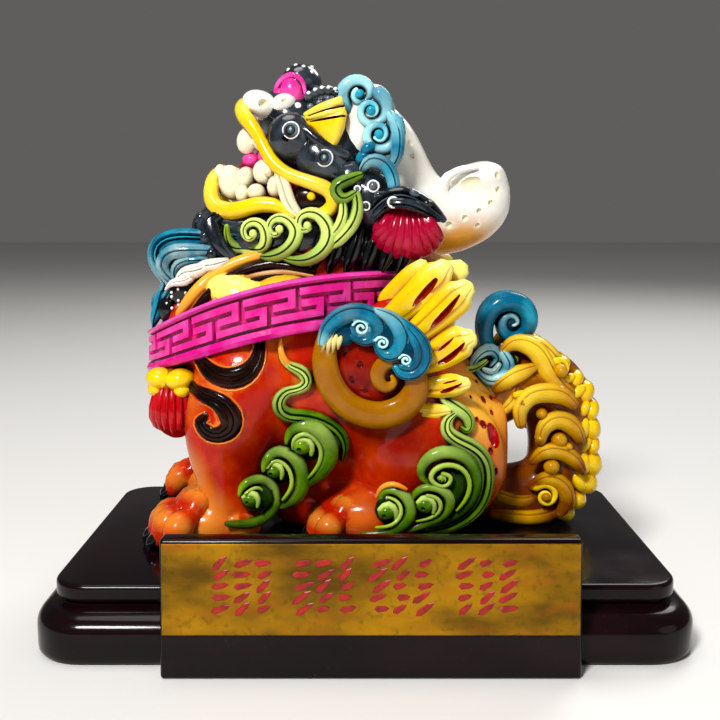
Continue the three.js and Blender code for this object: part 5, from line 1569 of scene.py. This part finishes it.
def plate_gold():
    material, tree, shader = material_of("plate_gold", Metallic=0.75)
    clouds = noise(tree, 70.0, 5.0, (1, 1, 2.2))
    patches = noise(tree, 210.0, 4.0, (0.5, 1, 1.6))
    colour = blended(tree, ranged(tree, clouds, 0.35, 0.62), rgb(0x644600), rgb(0xB88200))
    colour = blended(tree, ranged(tree, patches, 0.55, 0.75, 0.0, 0.7), colour, rgb(0xB05C10))
    colour = blended(tree, ranged(tree, noise(tree, 900.0, 3.0), 0.55, 0.75, 0.0, 0.5), colour,
                     rgb(0x44440A))
    tree.links.new(colour, shader.inputs["Base Color"])
    tree.links.new(ranged(tree, patches, 0.3, 0.7, 0.28, 0.5), shader.inputs["Roughness"])
    bumped(tree, noise(tree, 420.0, 3.0), shader, 0.3, 0.00015)
    return material


def red_enamel():
    material, tree, shader = material_of("red_enamel", Roughness=0.4)
    colour = blended(tree, ranged(tree, noise(tree, 600.0), 0.35, 0.65), rgb(0x780400), rgb(0xA80C00))
    tree.links.new(colour, shader.inputs["Base Color"])
    return material


STROKE_WIDTH = 0.95
# A stroke's outline: shares of the way along it, and of its width
STROKE_PLAN = ((0, 0), (0.2, 0.5), (0.75, 0.38), (1, 0), (0.75, -0.38), (0.2, -0.5))
GROUPS = (-18.4, -6.6, 4.4, 16.6)  # the middles of the four groups of strokes, along the plate


def stroke(shape, start, end):
    """One raised red stroke on the plate, pointed at both ends, with sloping sides."""
    start, end = Vector(start), Vector(end)
    along = (end - start).normalized()
    across = Vector((-along.y, along.x)) * STROKE_WIDTH
    outline = [start.lerp(end, t) + across * share for t, share in STROKE_PLAN]
    centre = start.lerp(end, 0.45)
    before = len(shape.faces)
    wrap(shape, [[shape.verts.new(on_plate(*point.lerp(centre, inwards), PLATE_FACE + out))
                  for point in outline]
                 for inwards, out in ((0, -0.1), (0, 0.06), (0.16, 0.14))])
    shape.faces.ensure_lookup_table()
    for face in shape.faces[before:]:
        face.material_index = 1


def name_plate():
    """The gold-coloured plate with four groups of red strokes that spell nothing."""
    width = (PLATE_HIGH.x - PLATE_LOW.x) / MM
    shape = bmesh.new()
    loops = []
    for margin, out in ((PLATE_BEVEL, -PLATE_FACE), (0, PLATE_BEVEL - PLATE_FACE),
                        (0, PLATE_FACE - PLATE_BEVEL), (PLATE_BEVEL, PLATE_FACE)):
        x, z = width / 2 - margin, PLATE_HEIGHT / 2 - margin
        loops.append([shape.verts.new(on_plate(a * x, b * z, out))
                      for a, b in ((-1, -1), (1, -1), (1, 1), (-1, 1))])
    wrap(shape, loops)
    for i, middle in enumerate(GROUPS):
        for j in range(15):
            column, row = j % 3 - 1, j // 3 - 2
            lean = 0.55 + 0.5 * math.sin(1.7 * j + 2.3 * i)
            x = middle + 3.1 * column + 0.3 * math.sin(3.1 * j + i)
            z = 0.6 + 1.65 * row
            reach = 1.2 + 0.25 * math.cos(1.9 * j + i)
            stroke(shape, (x - reach, z - lean), (x + reach, z + lean))
    piece = object_of(shape, "name_plate_gold")
    piece.data.materials.append(plate_gold())
    piece.data.materials.append(red_enamel())
    return piece


# Stage, light and camera

STAGE_SIZE = 4  # metres


def stage():
    bpy.ops.mesh.primitive_plane_add(size=STAGE_SIZE, location=(0, 0, 0))
    floor = bpy.context.object
    floor.name = "floor"
    floor.data.materials.append(material_of("pale_floor", Base_Color=rgb(0xE4E2DE), Roughness=0.6)[0])


# Soft round lights: place in metres, size and power
LIGHTS = {
    "key": ((-0.2, -0.4, 0.44), 0.12, 4.0),
    "fill": ((0.45, -0.35, 0.2), 0.4, 0.35),
    "back": ((0.25, 0.4, 0.45), 0.3, 1.4),
    "crown": ((-0.1, 0.05, 0.6), 0.3, 0.9),
}
LIT_PLACE = Vector((0, 0, 0.045))  # where they all point
WORLD_COLOUR, WORLD_STRENGTH = rgb(0xF0EEEC), 0.13


def lighting():
    for name, (place, size, power) in LIGHTS.items():
        data = bpy.data.lights.new(name, "AREA")
        data.shape = "DISK"
        data.size = size
        data.energy = power
        lamp = linked(name, data)
        lamp.location = place
        lamp.rotation_euler = (LIT_PLACE - Vector(place)).to_track_quat("-Z", "Y").to_euler()
    bpy.context.scene.view_settings.view_transform = "Standard"
    world = bpy.context.scene.world = bpy.data.worlds.new("studio")
    world.use_nodes = True
    background = world.node_tree.nodes["Background"]
    background.inputs["Color"].default_value = WORLD_COLOUR
    background.inputs["Strength"].default_value = WORLD_STRENGTH


# The photograph's view, in metres: a lens of 50 mm looking slightly down.
CAMERA_PLACE = (-0.00077, -0.1697, 0.0668)
CAMERA_PITCH = math.radians(8.4747)
LENS, SENSOR = 50, 36
NEAREST = 0.01


def camera():
    data = bpy.data.cameras.new("camera")
    data.lens = LENS
    data.sensor_width = SENSOR
    data.clip_start = NEAREST
    view = linked("camera", data)
    view.location = CAMERA_PLACE
    view.rotation_euler = (math.pi / 2 - CAMERA_PITCH, 0, 0)
    bpy.context.scene.camera = view


camera()
lighting()
stage()

for piece, node, slot in ((figure(), "pixiu", "painted_resin"), (plinth(), "plinth", "lacquer"),
                          (name_plate(), "name_plate", "plate")):
    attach(piece, "root")
    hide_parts(node)
